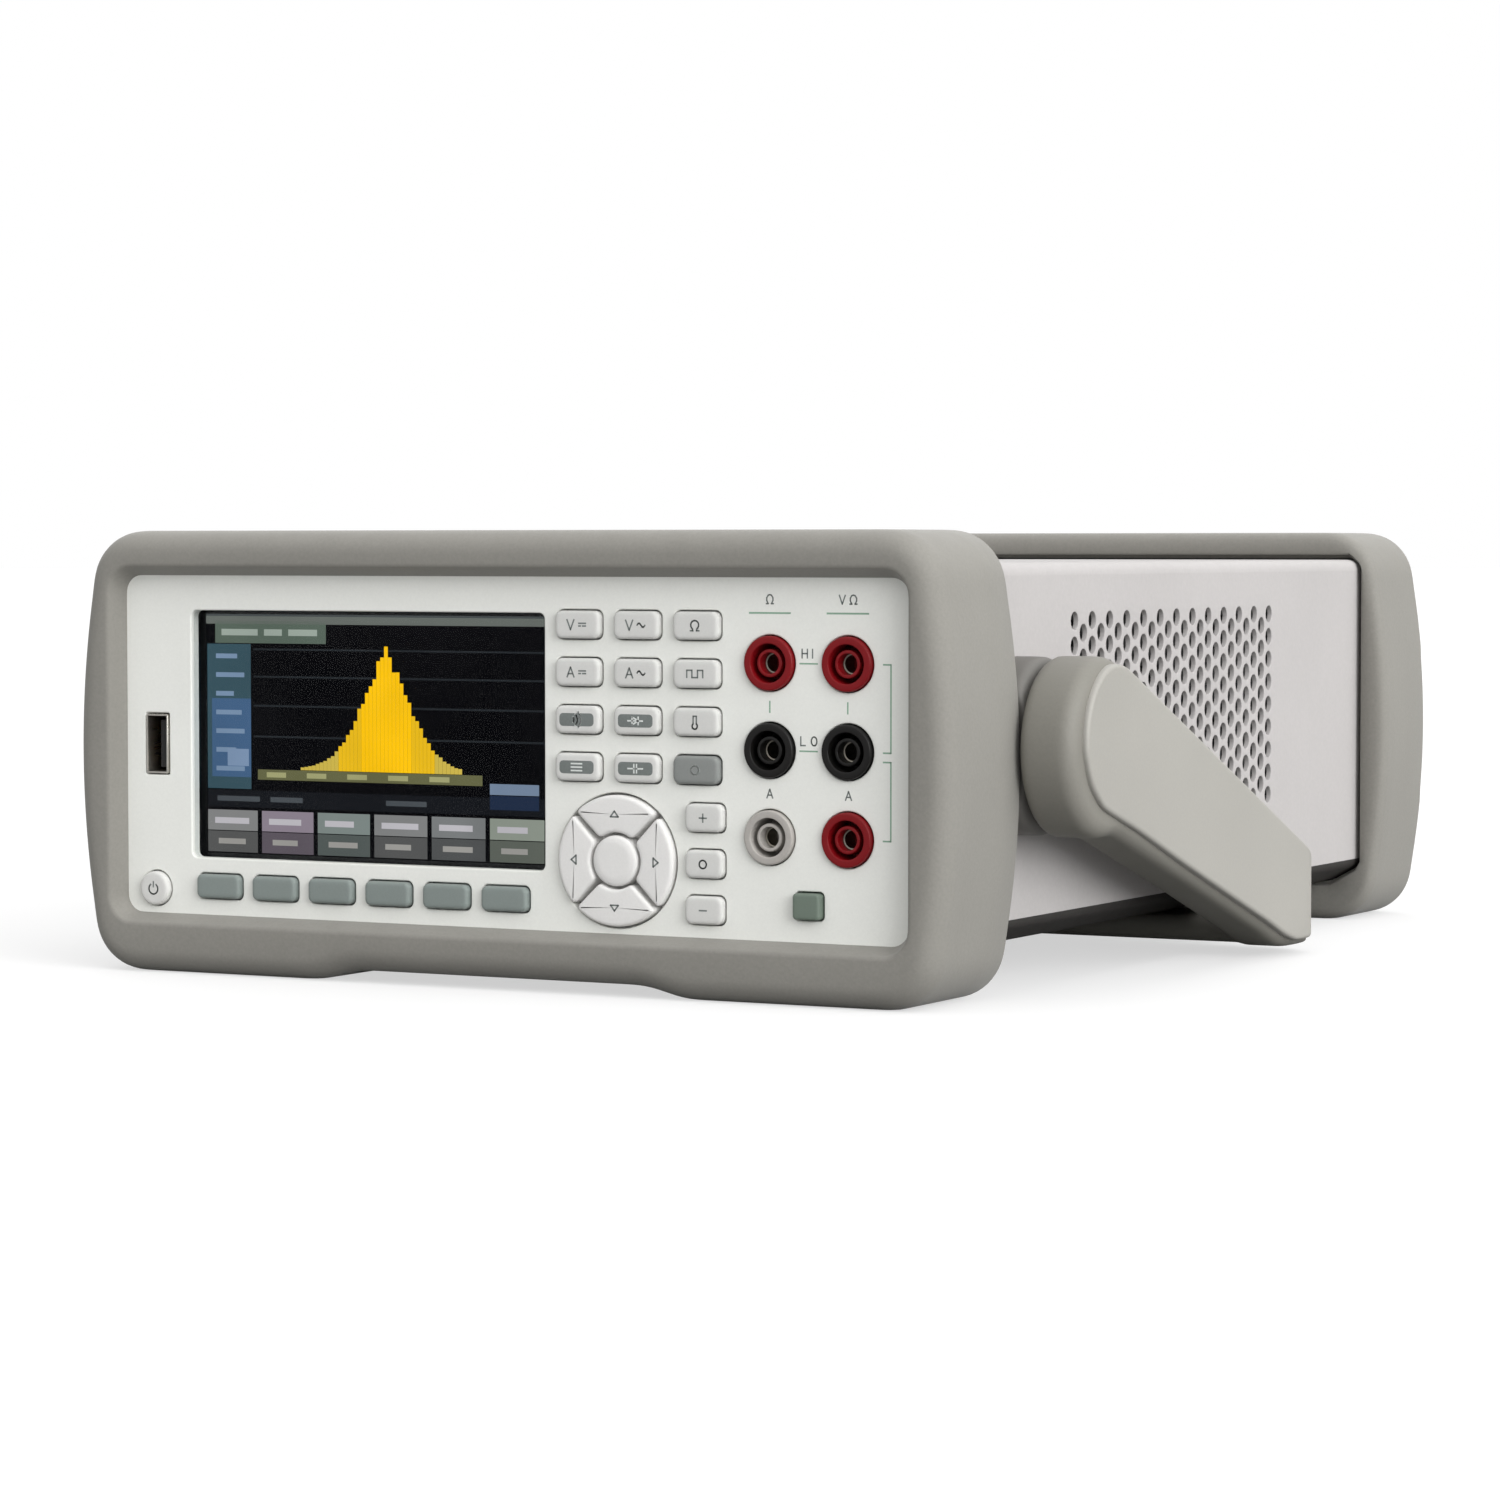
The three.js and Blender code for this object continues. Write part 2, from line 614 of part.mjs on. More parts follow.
add(
  "rear_panel",
  cut(
    prismY(caseOutline(SHEET + 0.4), [PANEL_Y, PANEL_Y + 1.5]),
    ...fanSlots,
    bodyBox(INLET, THROUGH_REAR, BODY_GAP),
    bodyBox(BLOCK, THROUGH_REAR, BODY_GAP),
    box([-8.6, 8.6], THROUGH_REAR, [20.2, 34.3]), // network port
    box([-36.6, -23.4], THROUGH_REAR, [20.7, 32.9]), // device port
    ...[BNC_IN, BNC_OUT].map((place) => rodY(5.3, THROUGH_REAR, place, 12)),
    rodY(6.2, THROUGH_REAR, FUSE, 16),
  ),
  STEEL,
);

// ---- fan: frame with a motor plate on three struts, and the rotor on its shaft
const PAST_FAN_Y = [270, 285];
const FAN_HUB_R = 10.5;
const BLADES = 7;
// A bar reaching out from the fan's axis: size in x, y, z, its centre's radius and its y
function fanBar(size, tilt, centreR, angle, y) {
  const geometry = new THREE.BoxGeometry(...size);
  geometry.rotateX(tilt);
  geometry.translate(centreR, 0, 0);
  geometry.rotateY(angle);
  geometry.translate(FAN.x, y, FAN.z);
  return solid(geometry);
}
const fanScrews = [-1, 1].flatMap((sideX) =>
  [-1, 1].map((sideZ) => ({ x: FAN.x + sideX * 20.5, z: FAN.z + sideZ * 20.5 })),
);
add(
  "fan_frame",
  join(
    cut(
      prismY(roundedRect(FAN, 50, 50, 4, 2), [271, 283.5]),
      rodY(FAN.radius, PAST_FAN_Y, FAN, 24),
      ...fanScrews.map((place) => rodY(2, PAST_FAN_Y, place, 6)),
    ),
    rodY(FAN_HUB_R, [281.3, 283.3], FAN, 20),
    rodY(1.5, [273, 282], FAN, 12),
    ...[30, 150, 270].map((degrees) => fanBar([25, 2, 3], 0, 12.5, radians(degrees), 282.3)),
  ),
  DARK_PLASTIC,
);
const blades = [];
for (let i = 0; i < BLADES; i++) {
  blades.push(fanBar([12.6, 8.6, 1.1], 0.72, 15.6, (i * 2 * Math.PI) / BLADES, 276));
}
add(
  "fan_rotor",
  cut(
    join(rodY(FAN_HUB_R, [271.6, 280.7], FAN, 24), ...blades),
    rodY(1.9, [272.6, 285], FAN, 12),
  ),
  DARK_PLASTIC,
);

// ---- mains inlet: flanged body with the socket's recess, its three blades and a fuse drawer
const SOCKET_OUTLINE = [ // x, z from the inlet's centre
  [-12, -18], [12, -18], [12, -6], [8, -1.6], [-8, -1.6], [-12, -6],
].map(([x, z]) => [INLET.x + x, INLET.z + z]);
const INLET_BLADES = [[-7, -12], [7, -12], [0, -7.2]]; // x, z from the inlet's centre
add(
  "power_inlet",
  join(
    cut(
      join(
        prismY(roundedRect(INLET, 31, 48, 3, 2), FLANGE_REAR),
        bodyBox(INLET, [262, BODY_END]),
      ),
      prismY(SOCKET_OUTLINE, [271, 295]),
      box(around(INLET.x, 11), [286.2, 295], [INLET.z + 3, INLET.z + 19]),
    ),
    ...INLET_BLADES.map(([x, z]) =>
      box(around(INLET.x + x, 1), [270, 284], around(INLET.z + z, 2)),
    ),
    box(around(INLET.x, 9.6), [285.5, 287.6], [INLET.z + 4.4, INLET.z + 17.6]),
  ),
  DARK_PLASTIC,
);

// ---- rear input block: one moulding with five sockets, none at the lower right seen from the front
const rearJacks = jackPlaces(BLOCK.x).slice(0, 5);
add(
  "rear_terminal_block",
  cut(
    join(
      prismY(roundedRect(BLOCK, 36, 60, 3, 1), FLANGE_REAR),
      bodyBox(BLOCK, [266, BODY_END]),
    ),
    ...rearJacks.flatMap((place) => [
      rodY(6, [286.2, 295], place, 12),
      rodY(2.1, [268, 295], place, 8),
    ]),
  ),
  DARK_PLASTIC,
);

// ---- coaxial sockets, network and device ports
const BNC_PROFILE = [ // radius, y
  [0, 290], [3.4, 290], [3.4, 297], [4.8, 297], [4.8, 287.4], [7.4, 287.4], [7.4, 285.6],
  [4.9, 285.6], [4.9, 276], [0, 276],
];
const USB_RECESS = [ // x, z
  [-34.4, 22.6], [-25.6, 22.6], [-25.6, 29.2], [-27.6, 31.1], [-32.4, 31.1], [-34.4, 29.2],
];
const PORT_END = 286.8;
const PORT_RECESS_Y = [272, 290];
add("bnc_trigger_in", turnedY(BNC_PROFILE, BNC_IN, 12), CONNECTOR);
add("bnc_sync_out", turnedY(BNC_PROFILE, BNC_OUT, 12), CONNECTOR);
add(
  "lan_port",
  cut(
    box([-8.2, 8.2], [267, PORT_END], [20.6, 33.9]),
    box([-6, 6], PORT_RECESS_Y, [23.4, 31.6]),
    box([-3, 3], PORT_RECESS_Y, [21.8, 24]),
  ),
  CONNECTOR,
);
add(
  "rear_usb_port",
  join(
    cut(
      box([-36.1, -23.9], [268, PORT_END], [21.1, 32.5]),
      prismY(USB_RECESS, PORT_RECESS_Y),
    ),
    box([-32.8, -27.2], [271, 285], [25, 28.4]),
  ),
  CONNECTOR,
);

// ---- current fuse: cap with a coin slot, on a stem through the panel
const FUSE_PROFILE = [ // radius, y
  [0, 264], [5.6, 264], [5.6, 285.6], [7.6, 285.6], [7.6, 292.4], [6.8, 293.2], [0, 293.2],
];
add(
  "rear_fuse_cap",
  cut(
    turnedY(FUSE_PROFILE, FUSE, 20),
    box(around(FUSE.x, 5), [291.2, 295], around(FUSE.z, 0.8)),
  ),
  DARK_PLASTIC,
);

// ---- main board with its components
const MAIN_Z = 20;
const PART_Z = MAIN_Z + BOARD_T - PART_SINK;
const ABOVE_BOARD_Z = MAIN_Z + BOARD_T + GAP; // underside of what stands clear of the board
const block = (x, y, top) => box(x, y, [PART_Z, top]);
const can = (radius, x, y, top) => rodZ(radius, [PART_Z, top], { x, y }, 12);
add(
  "main_board",
  join(
    box([-97, 97], [34, 264], [MAIN_Z, MAIN_Z + BOARD_T]),
    block([-86, -52], [60, 96], 25),
    block([-44, -24], [70, 90], 24),
    block([-90, -60], [120, 134], 34),
    can(7, -76, 154, 44),
    can(7, -58, 154, 44),
    can(5, -42, 150, 38),
    block([-20, -4], [120, 160], 40),
    block([10, 60], [190, 214], 26),
    block([66, 90], [186, 232], 32),
  ),
  PCB,
);

// ---- shield: open-bottomed can with two openings in its top
add(
  "analog_shield",
  cut(
    box([6, 92], [46, 172], [ABOVE_BOARD_Z, 46]),
    box([7, 91], [47, 171], [20, 45]),
    box([30, 50], [60, 100], [40, 50]),
    box([56, 80], [60, 100], [40, 50]),
  ),
  STEEL,
);

// ---- transformer: core, winding block and mounting foot
add(
  "power_transformer",
  join(
    box([-92, -38], [196, 236], [ABOVE_BOARD_Z, 64]),
    box([-84, -46], [186, 246], [28, 58]),
    box([-94, -36], [210, 222], [ABOVE_BOARD_Z, 25]),
  ),
  CORE,
);

export default multimeter;
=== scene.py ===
# A bench multimeter: a sheet-metal sleeve between two rubber bumpers, with a display, keys
# and sockets in front, connectors at the back and a carrying handle pivoted on both sides.
# Seen from the front, x runs left to right, y from front to back and z up from the ground.
import math

import bmesh
import bpy
import numpy as np
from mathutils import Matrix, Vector
from mathutils.geometry import delaunay_2d_cdt


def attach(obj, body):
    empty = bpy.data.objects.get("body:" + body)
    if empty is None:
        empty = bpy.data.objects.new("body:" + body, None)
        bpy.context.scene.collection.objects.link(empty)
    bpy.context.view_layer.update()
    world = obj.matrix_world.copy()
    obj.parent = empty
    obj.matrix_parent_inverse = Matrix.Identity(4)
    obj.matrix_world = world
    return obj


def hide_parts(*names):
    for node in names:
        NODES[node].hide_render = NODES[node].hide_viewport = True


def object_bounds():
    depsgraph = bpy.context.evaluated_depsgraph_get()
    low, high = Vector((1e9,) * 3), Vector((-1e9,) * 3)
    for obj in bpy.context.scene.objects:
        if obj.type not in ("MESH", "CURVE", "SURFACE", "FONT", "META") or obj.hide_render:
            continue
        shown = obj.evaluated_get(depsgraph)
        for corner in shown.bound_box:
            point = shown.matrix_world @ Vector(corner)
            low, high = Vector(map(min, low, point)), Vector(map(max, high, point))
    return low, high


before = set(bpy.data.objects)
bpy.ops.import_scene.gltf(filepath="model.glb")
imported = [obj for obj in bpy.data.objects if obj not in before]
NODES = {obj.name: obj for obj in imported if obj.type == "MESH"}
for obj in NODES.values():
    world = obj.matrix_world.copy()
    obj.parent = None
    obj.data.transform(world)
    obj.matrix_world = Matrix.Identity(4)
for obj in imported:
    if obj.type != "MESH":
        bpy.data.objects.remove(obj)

CAD_LO, CAD_HI = [list(v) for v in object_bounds()]

# ------------------------------------------------------------------ dimensions
# Lengths are in millimetres and y is counted from the front of the instrument.
MM = 0.001
Y_SHIFT = CAD_LO[1]  # the front, in the frame's metres
DEPTH = (CAD_HI[1] - CAD_LO[1]) / MM
HEIGHT = CAD_HI[2] / MM

CASE_HALF, CASE_BOTTOM, CASE_TOP = 106.3, 10.4, 96.6
CHAMFER_WIDTH, CHAMFER_HEIGHT = 8, 4.6  # sloping lower corners of the case
SLEEVE_FRONT, SLEEVE_BACK, SHEET = 8.6, 285.8, 1.2
FACE = 5.0  # front of the bezel
CAP = 3.5  # front of the keys
PANEL = 283.8  # inner face of the rear panel
PANEL_BACK = PANEL + 1.5

# Front layout: centres are (x, z), sizes are (width, height).
WINDOW_X, WINDOW_Z, WINDOW_W, WINDOW_H = -36.35, 56.2, 96.2, 58.0
SOFT_X = [-76.4 + 15.6 * i for i in range(6)]
SOFT_Z = 20.6
SOFT_SIZE = (12, 5.6)
KEY_X = [20.9, 35.95, 51.0]
KEY_Z = [82.7, 72.1, 61.5, 50.9]
KEY_SIZE = (11.4, 6.2)
RANGE_X, RANGE_Z = 53.0, [40.4, 30.2, 20.0]
RANGE_SIZE = (9.4, 6.2)
NAV_X, NAV_Z, NAV_R = 30.6, 30.2, 14.7
NAV_MID_R = 10.4  # middle of the arrow keys
SWITCH = (78.6, 21.8)
SWITCH_SIZE = (6.6, 5.8)
POWER, POWER_R = (-94.6, 19.6), 4.0
USB_X, USB_Z, USB_W, USB_H = -94.2, 53.7, 6.2, 14.0
JACK_PITCH, JACK_MID_X, JACK_MID_Z = 19.05, 78.4, 55.6
JACK_X = [JACK_MID_X - JACK_PITCH / 2, JACK_MID_X + JACK_PITCH / 2]
JACK_Z = [JACK_MID_Z + JACK_PITCH, JACK_MID_Z, JACK_MID_Z - JACK_PITCH]

# Rear layout, (x, z).
FAN = (-28.0, 62.0)
INLET_X, INLET_Z = -76.5, 52.0
BLOCK_X, BLOCK_Z = 75.0, 55.6
COAX = {"bnc_trigger_in": (27.0, 27.5), "bnc_sync_out": (47.0, 27.5)}
FUSE_X, FUSE_Z = 47.0, 72.0

PIVOT_Y, PIVOT_Z = 52.0, 55.6  # handle pivot


def at(x, y, z):
    return (x * MM, y * MM + Y_SHIFT, z * MM)


def link_object(name, data):
    item = bpy.data.objects.new(name, data)
    bpy.context.scene.collection.objects.link(item)
    return item


# ------------------------------------------------------------------ materials
MATERIALS = {}


def linear(c):
    return c / 12.92 if c <= 0.04045 else ((c + 0.055) / 1.055) ** 2.4


def rgb(code, gain=1.0):
    """A hex sRGB code as a linear RGBA colour."""
    return tuple(linear(int(code[i : i + 2], 16) / 255) * gain for i in (0, 2, 4)) + (1.0,)


class Nodes:
    """The emptied node tree of a material or a world, with its output."""

    def __init__(self, owner, output="ShaderNodeOutputMaterial"):
        owner.use_nodes = True
        self.tree = owner.node_tree
        self.tree.nodes.clear()
        self.out = self.add(output)

    def add(self, kind, inputs=None, **settings):
        """Adds a node; each input is linked to a socket or set to a value."""
        node = self.tree.nodes.new(kind)
        for key, value in settings.items():
            setattr(node, key, value)
        for key, value in (inputs or {}).items():
            if isinstance(value, bpy.types.NodeSocket):
                self.tree.links.new(value, node.inputs[key])
            else:
                node.inputs[key].default_value = value
        return node

    def finish(self, node):
        self.tree.links.new(node.outputs[0], self.out.inputs[0])

    def math(self, operation, *operands, clamp=False):
        inputs = dict(enumerate(operands))
        node = self.add("ShaderNodeMath", inputs, operation=operation, use_clamp=clamp)
        return node.outputs[0]

    def texture(self, kind, inputs, stretch, offset=(0, 0, 0)):
        coord = self.add("ShaderNodeTexCoord").outputs["Object"]
        place = {"Vector": coord, "Scale": stretch, "Location": offset}
        mapping = self.add("ShaderNodeMapping", place)
        return self.add(kind, {**inputs, "Vector": mapping.outputs[0]})

    def noise(self, scale, detail=2.0, rough=0.5, stretch=(1, 1, 1), offset=(0, 0, 0)):
        inputs = {"Scale": scale, "Detail": detail, "Roughness": rough}
        return self.texture("ShaderNodeTexNoise", inputs, stretch, offset).outputs[0]

    def spread(self, value, low, high):
        """value, centred on 0.5, mapped to low..high."""
        inputs = {"From Min": 0.3, "From Max": 0.7, "To Min": low, "To Max": high}
        return self.add("ShaderNodeMapRange", {**inputs, "Value": value}).outputs[0]


def material_nodes(name):
    MATERIALS[name] = bpy.data.materials.new(name)
    return Nodes(MATERIALS[name])


def surface(
    name, code, rough, metal=0.0, grain=900.0, bump=0.2, depth=0.05, speck=0.05,
    blotch=0.04, rough_var=0.07, wear=0.15, wear_code=None, pebble=0.0, stretch=(1, 1, 1),
    coat=0.0, coat_rough=0.1, sheen=0.0, spec=0.5, dust=0.0,
):
    """A moulded, painted or bare surface: grain, colour drift, uneven gloss, rubbed edges.

    grain scales the fine texture, bump and depth (mm) its relief, and pebble mixes in cells.
    speck and blotch vary the brightness finely and slowly, rough_var the roughness.
    wear lightens the edges and dust pales what faces up.
    """
    colour = rgb(code)
    nodes = material_nodes(name)
    fine = nodes.noise(grain, detail=3.0, rough=0.55, stretch=stretch)
    slow = nodes.noise(22.0, detail=4.0, rough=0.6, offset=(0.31, 0.17, 0.05))
    mid = nodes.noise(190.0, detail=3.0, rough=0.6, stretch=stretch, offset=(0.7, 0.1, 0.4))
    fine_value = nodes.spread(fine, 1 - speck, 1 + speck)
    value = nodes.math("ADD", fine_value, nodes.spread(slow, -blotch, blotch))
    varied = nodes.add("ShaderNodeHueSaturation", {"Color": colour, "Value": value})
    geometry = nodes.add("ShaderNodeNewGeometry")
    edge = nodes.add("ShaderNodeMapRange", {
        "From Min": 0.53, "From Max": 0.68, "To Max": wear, "Value": geometry.outputs["Pointiness"],
    })
    worn = nodes.math("MULTIPLY", edge.outputs[0], nodes.spread(mid, 0.3, 1.2), clamp=True)
    rubbed = rgb(wear_code) if wear_code else tuple(min(1, c * 1.5 + 0.04) for c in colour[:3]) + (1,)
    mix = nodes.add(
        "ShaderNodeMix", {"Factor": worn, 6: varied.outputs[0], 7: rubbed}, data_type="RGBA"
    )
    if dust:
        normal = nodes.add("ShaderNodeSeparateXYZ", {0: geometry.outputs["Normal"]})
        upward = nodes.math("MAXIMUM", normal.outputs[2], 0.0)
        lying = nodes.math("MULTIPLY", upward, nodes.spread(mid, 0.2 * dust, dust), clamp=True)
        dust_colour = (0.62, 0.60, 0.56, 1)
        mix = nodes.add(
            "ShaderNodeMix", {"Factor": lying, 6: mix.outputs[2], 7: dust_colour}, data_type="RGBA"
        )
    slow_rough = nodes.spread(slow, rough - rough_var, rough + rough_var)
    roughness = nodes.math("ADD", slow_rough, nodes.spread(fine, -0.03, 0.03), clamp=True)
    height = fine
    if pebble:
        grained = nodes.math("MULTIPLY", fine, 1 - pebble)
        cells = nodes.texture("ShaderNodeTexVoronoi", {"Scale": grain * 0.6}, stretch)
        pebbled = nodes.math("MULTIPLY", cells.outputs["Distance"], pebble)
        height = nodes.math("ADD", grained, pebbled)
    relief = nodes.add(
        "ShaderNodeBump", {"Strength": bump, "Distance": depth * MM, "Height": height}
    )
    nodes.finish(nodes.add("ShaderNodeBsdfPrincipled", {
        "Base Color": mix.outputs[2], "Roughness": roughness, "Metallic": metal,
        "Specular IOR Level": spec, "Coat Weight": coat, "Coat Roughness": coat_rough,
        "Sheen Weight": sheen, "Normal": relief.outputs[0],
    }))


def glow(name, colour, strength=1.0):
    """A lit patch: emission with a faint line structure and uneven backlight."""
    drift = 0.06
    nodes = material_nodes(name)
    coord = nodes.add("ShaderNodeTexCoord").outputs["Object"]
    wave = nodes.add(
        "ShaderNodeTexWave", {"Scale": 1600.0, "Vector": coord}, bands_direction="X"
    )
    uneven = nodes.spread(nodes.noise(60.0), 1 - drift, 1 + drift)
    value = nodes.math("ADD", uneven, nodes.math("MULTIPLY", wave.outputs["Fac"], -drift))
    varied = nodes.add("ShaderNodeHueSaturation", {"Color": colour, "Value": value})
    nodes.finish(nodes.add("ShaderNodeBsdfPrincipled", {
        "Base Color": (0.001, 0.001, 0.0012, 1), "Roughness": 0.5, "Specular IOR Level": 0.04,
        "Emission Color": varied.outputs[0], "Emission Strength": strength,
    }))


def window_glass():
    """Clear window under a soft reflection, with faint wiping marks."""
    nodes = material_nodes("window_glass")
    clear = nodes.add("ShaderNodeBsdfTransparent", {0: (0.93, 0.94, 0.94, 1)})
    wiped = nodes.noise(70.0, detail=5.0, rough=0.7, stretch=(1, 1, 3))
    gloss = nodes.add("ShaderNodeBsdfGlossy", {
        "Color": (1, 1, 1, 1), "Roughness": nodes.spread(wiped, 0.03, 0.11),
    })
    fresnel = nodes.add("ShaderNodeFresnel", {0: 1.45})
    patchy = nodes.spread(nodes.noise(40.0, detail=4.0), 0.05, 0.11)
    share = nodes.math("MULTIPLY", fresnel.outputs[0], patchy)
    nodes.finish(nodes.add(
        "ShaderNodeMixShader", {0: share, 1: clear.outputs[0], 2: gloss.outputs[0]}
    ))


PAINT = dict(grain=1200, bump=0.3, depth=0.07, wear=0.12, pebble=0.6)
HANDLE = dict(grain=1500, bump=0.28, depth=0.08, speck=0.03, blotch=0.03, wear=0.10, pebble=0.3)
KEY = dict(grain=2200, bump=0.22, sheen=0.1, spec=0.35)
SOCKET = dict(grain=1600, bump=0.08, depth=0.03, blotch=0.05)
PLATING = dict(metal=1.0, bump=0.06, depth=0.02, blotch=0.06, wear=0.1)
SHEET_METAL = dict(
    grain=500, bump=0.12, depth=0.03, speck=0.06, blotch=0.08, rough_var=0.1, wear=0.1,
    stretch=(0.08, 1, 1),
)
INK = dict(rough=0.55, grain=2500, bump=0.1, depth=0.01, blotch=0.05, wear=0.0)

surface("rubber", "84827c", rough=0.72, grain=1500, bump=0.35, depth=0.12, blotch=0.03,
        wear=0.10, pebble=0.4, sheen=0.15, spec=0.35, dust=0.06)
surface("bezel_plastic", "e7e8e3", rough=0.5, grain=1900, speck=0.018, blotch=0.018,
        wear=0.05, spec=0.4)
surface("painted_sheet", "b0adac", rough=0.62, speck=0.03, blotch=0.02, spec=0.2, **PAINT)
# Near-black paint for the case's underside and lower chamfers: painted shade for the deep shadow
# under the case.
surface("underside_painted_shade", "32302e", rough=0.6, speck=0.08, blotch=0.06, spec=0.25, **PAINT)
surface("handle_plastic", "9f9d97", rough=0.55, spec=0.4, **HANDLE)
# A darker copy of the handle plastic for the arms, grip and gussets: painted shade on the flanks of
# the arms.
surface("handle_core_painted_shade", "7e7c75", rough=0.6, spec=0.35, **HANDLE)
surface("hub_plastic", "6b6965", rough=0.6, grain=1500, bump=0.25, depth=0.07, speck=0.04,
        blotch=0.03, wear=0.12)
surface("key_rubber", "d0d0cd", rough=0.62, speck=0.02, blotch=0.02, wear=0.08, **KEY)
surface("key_rubber_dark", "858886", rough=0.62, speck=0.03, blotch=0.02, wear=0.08, **KEY)
surface("softkey_rubber", "7f8885", rough=0.6, speck=0.03, blotch=0.03, wear=0.10, **KEY)
surface("switch_cap", "68756a", rough=0.5, grain=2200, speck=0.03, blotch=0.03, wear=0.12)
surface("nav_rubber", "e0dfdd", rough=0.6, speck=0.02, blotch=0.02, wear=0.08, **KEY)
surface("socket_red", "7a0911", rough=0.42, speck=0.04, wear=0.14, wear_code="b04048",
        spec=0.28, **SOCKET)
surface("socket_black", "131211", rough=0.42, speck=0.06, wear=0.18, spec=0.3, **SOCKET)
surface("socket_grey", "aba7a2", rough=0.4, speck=0.04, coat=0.1, coat_rough=0.25, **SOCKET)
surface("contact_tube", "8f8a80", rough=0.35, rough_var=0.08, **PLATING)
surface("nickel_plate", "c9c6bf", rough=0.24, rough_var=0.08, stretch=(1, 0.15, 1), **PLATING)
surface("gold_plate", "c9a24a", rough=0.28, **{**PLATING, "bump": 0.05})
surface("zinc_sheet", "aeb1b3", rough=0.42, metal=0.7, **SHEET_METAL)
surface("dark_screw", "6d6d6d", rough=0.35, metal=0.9, bump=0.1, depth=0.02, speck=0.08,
        blotch=0.08, wear=0.3)
surface("dark_sheet", "46474a", rough=0.5, metal=0.6, **SHEET_METAL)
surface("black_plastic", "1d1d1e", rough=0.5, grain=1500, bump=0.25, depth=0.06, speck=0.08,
        blotch=0.06, wear=0.12, spec=0.4)
surface("socket_void", "08080a", rough=0.7, grain=1500, speck=0.1, blotch=0.1, wear=0.0, spec=0.2)
surface("solder_mask", "245c3c", rough=0.4, grain=700, bump=0.3, depth=0.06, speck=0.12,
        blotch=0.08, coat=0.3)
surface("transformer", "6a5f4a", rough=0.5, grain=1500, bump=0.4, depth=0.2, speck=0.12,
        blotch=0.1, wear=0.2, stretch=(0.02, 1, 1))
surface("silicone", "8f9290", rough=0.7, grain=1500, speck=0.03, blotch=0.03, wear=0.05, sheen=0.2)
surface("display_body", "0b0d10", rough=0.35, bump=0.05, depth=0.02, speck=0.1, blotch=0.1,
        wear=0.05)
surface("legend_ink", "6f7573", speck=0.08, **INK)
surface("legend_ink_light", "d4d8d5", **INK)
surface("panel_ink", "86a690", **INK)
surface("tongue_plastic", "d8d6cf", rough=0.45, grain=1500, bump=0.1, depth=0.03, speck=0.04,
        wear=0.1)
window_glass()


# ------------------------------------------------------------------ outline tools
# An outline function gives a closed loop of (x, z), grown outwards by its argument.
def rounded_rect(cx, cz, width, height, radius, steps=6):
    def outline(grow=0.0):
        w, h, r = width + 2 * grow, height + 2 * grow, max(radius + grow, 0.05)
        points = []
        for sx, sz, start in ((1, 1, 0), (-1, 1, 90), (-1, -1, 180), (1, -1, 270)):
            for i in range(steps + 1):
                angle = math.radians(start + 90 * i / steps)
                x = cx + sx * (w / 2 - r) + r * math.cos(angle)
                points.append((x, cz + sz * (h / 2 - r) + r * math.sin(angle)))
        return points

    return outline


def circle(cx, cz, radius, sides=32):
    def outline(grow=0.0):
        angles = [2 * math.pi * k / sides for k in range(sides)]
        r = radius + grow
        return [(cx + r * math.cos(a), cz + r * math.sin(a)) for a in angles]

    return outline


def polar(cx, cz, radius, degrees):
    angle = math.radians(degrees)
    return (cx + radius * math.cos(angle), cz + radius * math.sin(angle))


def smoothstep(x):
    x = min(max(x, 0), 1)
    return x * x * (3 - 2 * x)


def fillet(points, steps=4, closed=False):
    """Corners given as (a, b, size) become short curves."""
    out = []
    for i, p in enumerate(points):
        end = not closed and i in (0, len(points) - 1)
        if len(p) < 3 or end:
            out.append((p[0], p[1]))
            continue
        corner = Vector(p[:2])
        before = Vector(points[i - 1][:2]) - corner
        after = Vector(points[(i + 1) % len(points)][:2]) - corner
        reach = min(p[2], before.length * 0.49, after.length * 0.49)
        first = corner + before.normalized() * reach
        last = corner + after.normalized() * reach
        for k in range(steps + 1):
            u = k / steps
            q = first * (1 - u) ** 2 + corner * 2 * u * (1 - u) + last * u * u
            out.append((q.x, q.y))
    return out


def inward(points, distance):
    """A closed outline, counter-clockwise, moved inwards."""
    p = np.array(points)
    tangent = np.roll(p, -1, 0) - np.roll(p, 1, 0)
    tangent /= np.linalg.norm(tangent, axis=1, keepdims=True) + 1e-12
    return [tuple(q) for q in p + np.stack([-tangent[:, 1], tangent[:, 0]], 1) * distance]


def ccw(points):
    area = sum(p[0] * q[1] - q[0] * p[1] for p, q in zip(points, points[1:] + points[:1]))
    return points if area > 0 else points[::-1]


def resample(points, step):
    p = np.array(list(points) + [points[0]], float)
    run = np.concatenate([[0], np.cumsum(np.linalg.norm(np.diff(p, axis=0), axis=1))])
    count = max(8, int(round(run[-1] / step)))
    stops = np.linspace(0, run[-1], count, endpoint=False)
    return [(float(np.interp(s, run, p[:, 0])), float(np.interp(s, run, p[:, 1]))) for s in stops]


def relax(points, times):
    p = np.array(points)
    for _ in range(times):
        p = 0.5 * p + 0.25 * (np.roll(p, 1, 0) + np.roll(p, -1, 0))
    return [tuple(q) for q in p]


def nearest(points, target):
    """For each point, the closest place on the closed outline target."""
    start = np.array(target)
    edge = np.roll(start, -1, 0) - start
    out = []
    for p in points:
        p = np.array(p)
        u = np.clip(((p - start) * edge).sum(1) / ((edge * edge).sum(1) + 1e-12), 0, 1)
        q = start + edge * u[:, None]
        out.append(tuple(q[((q - p) ** 2).sum(1).argmin()]))
    return out


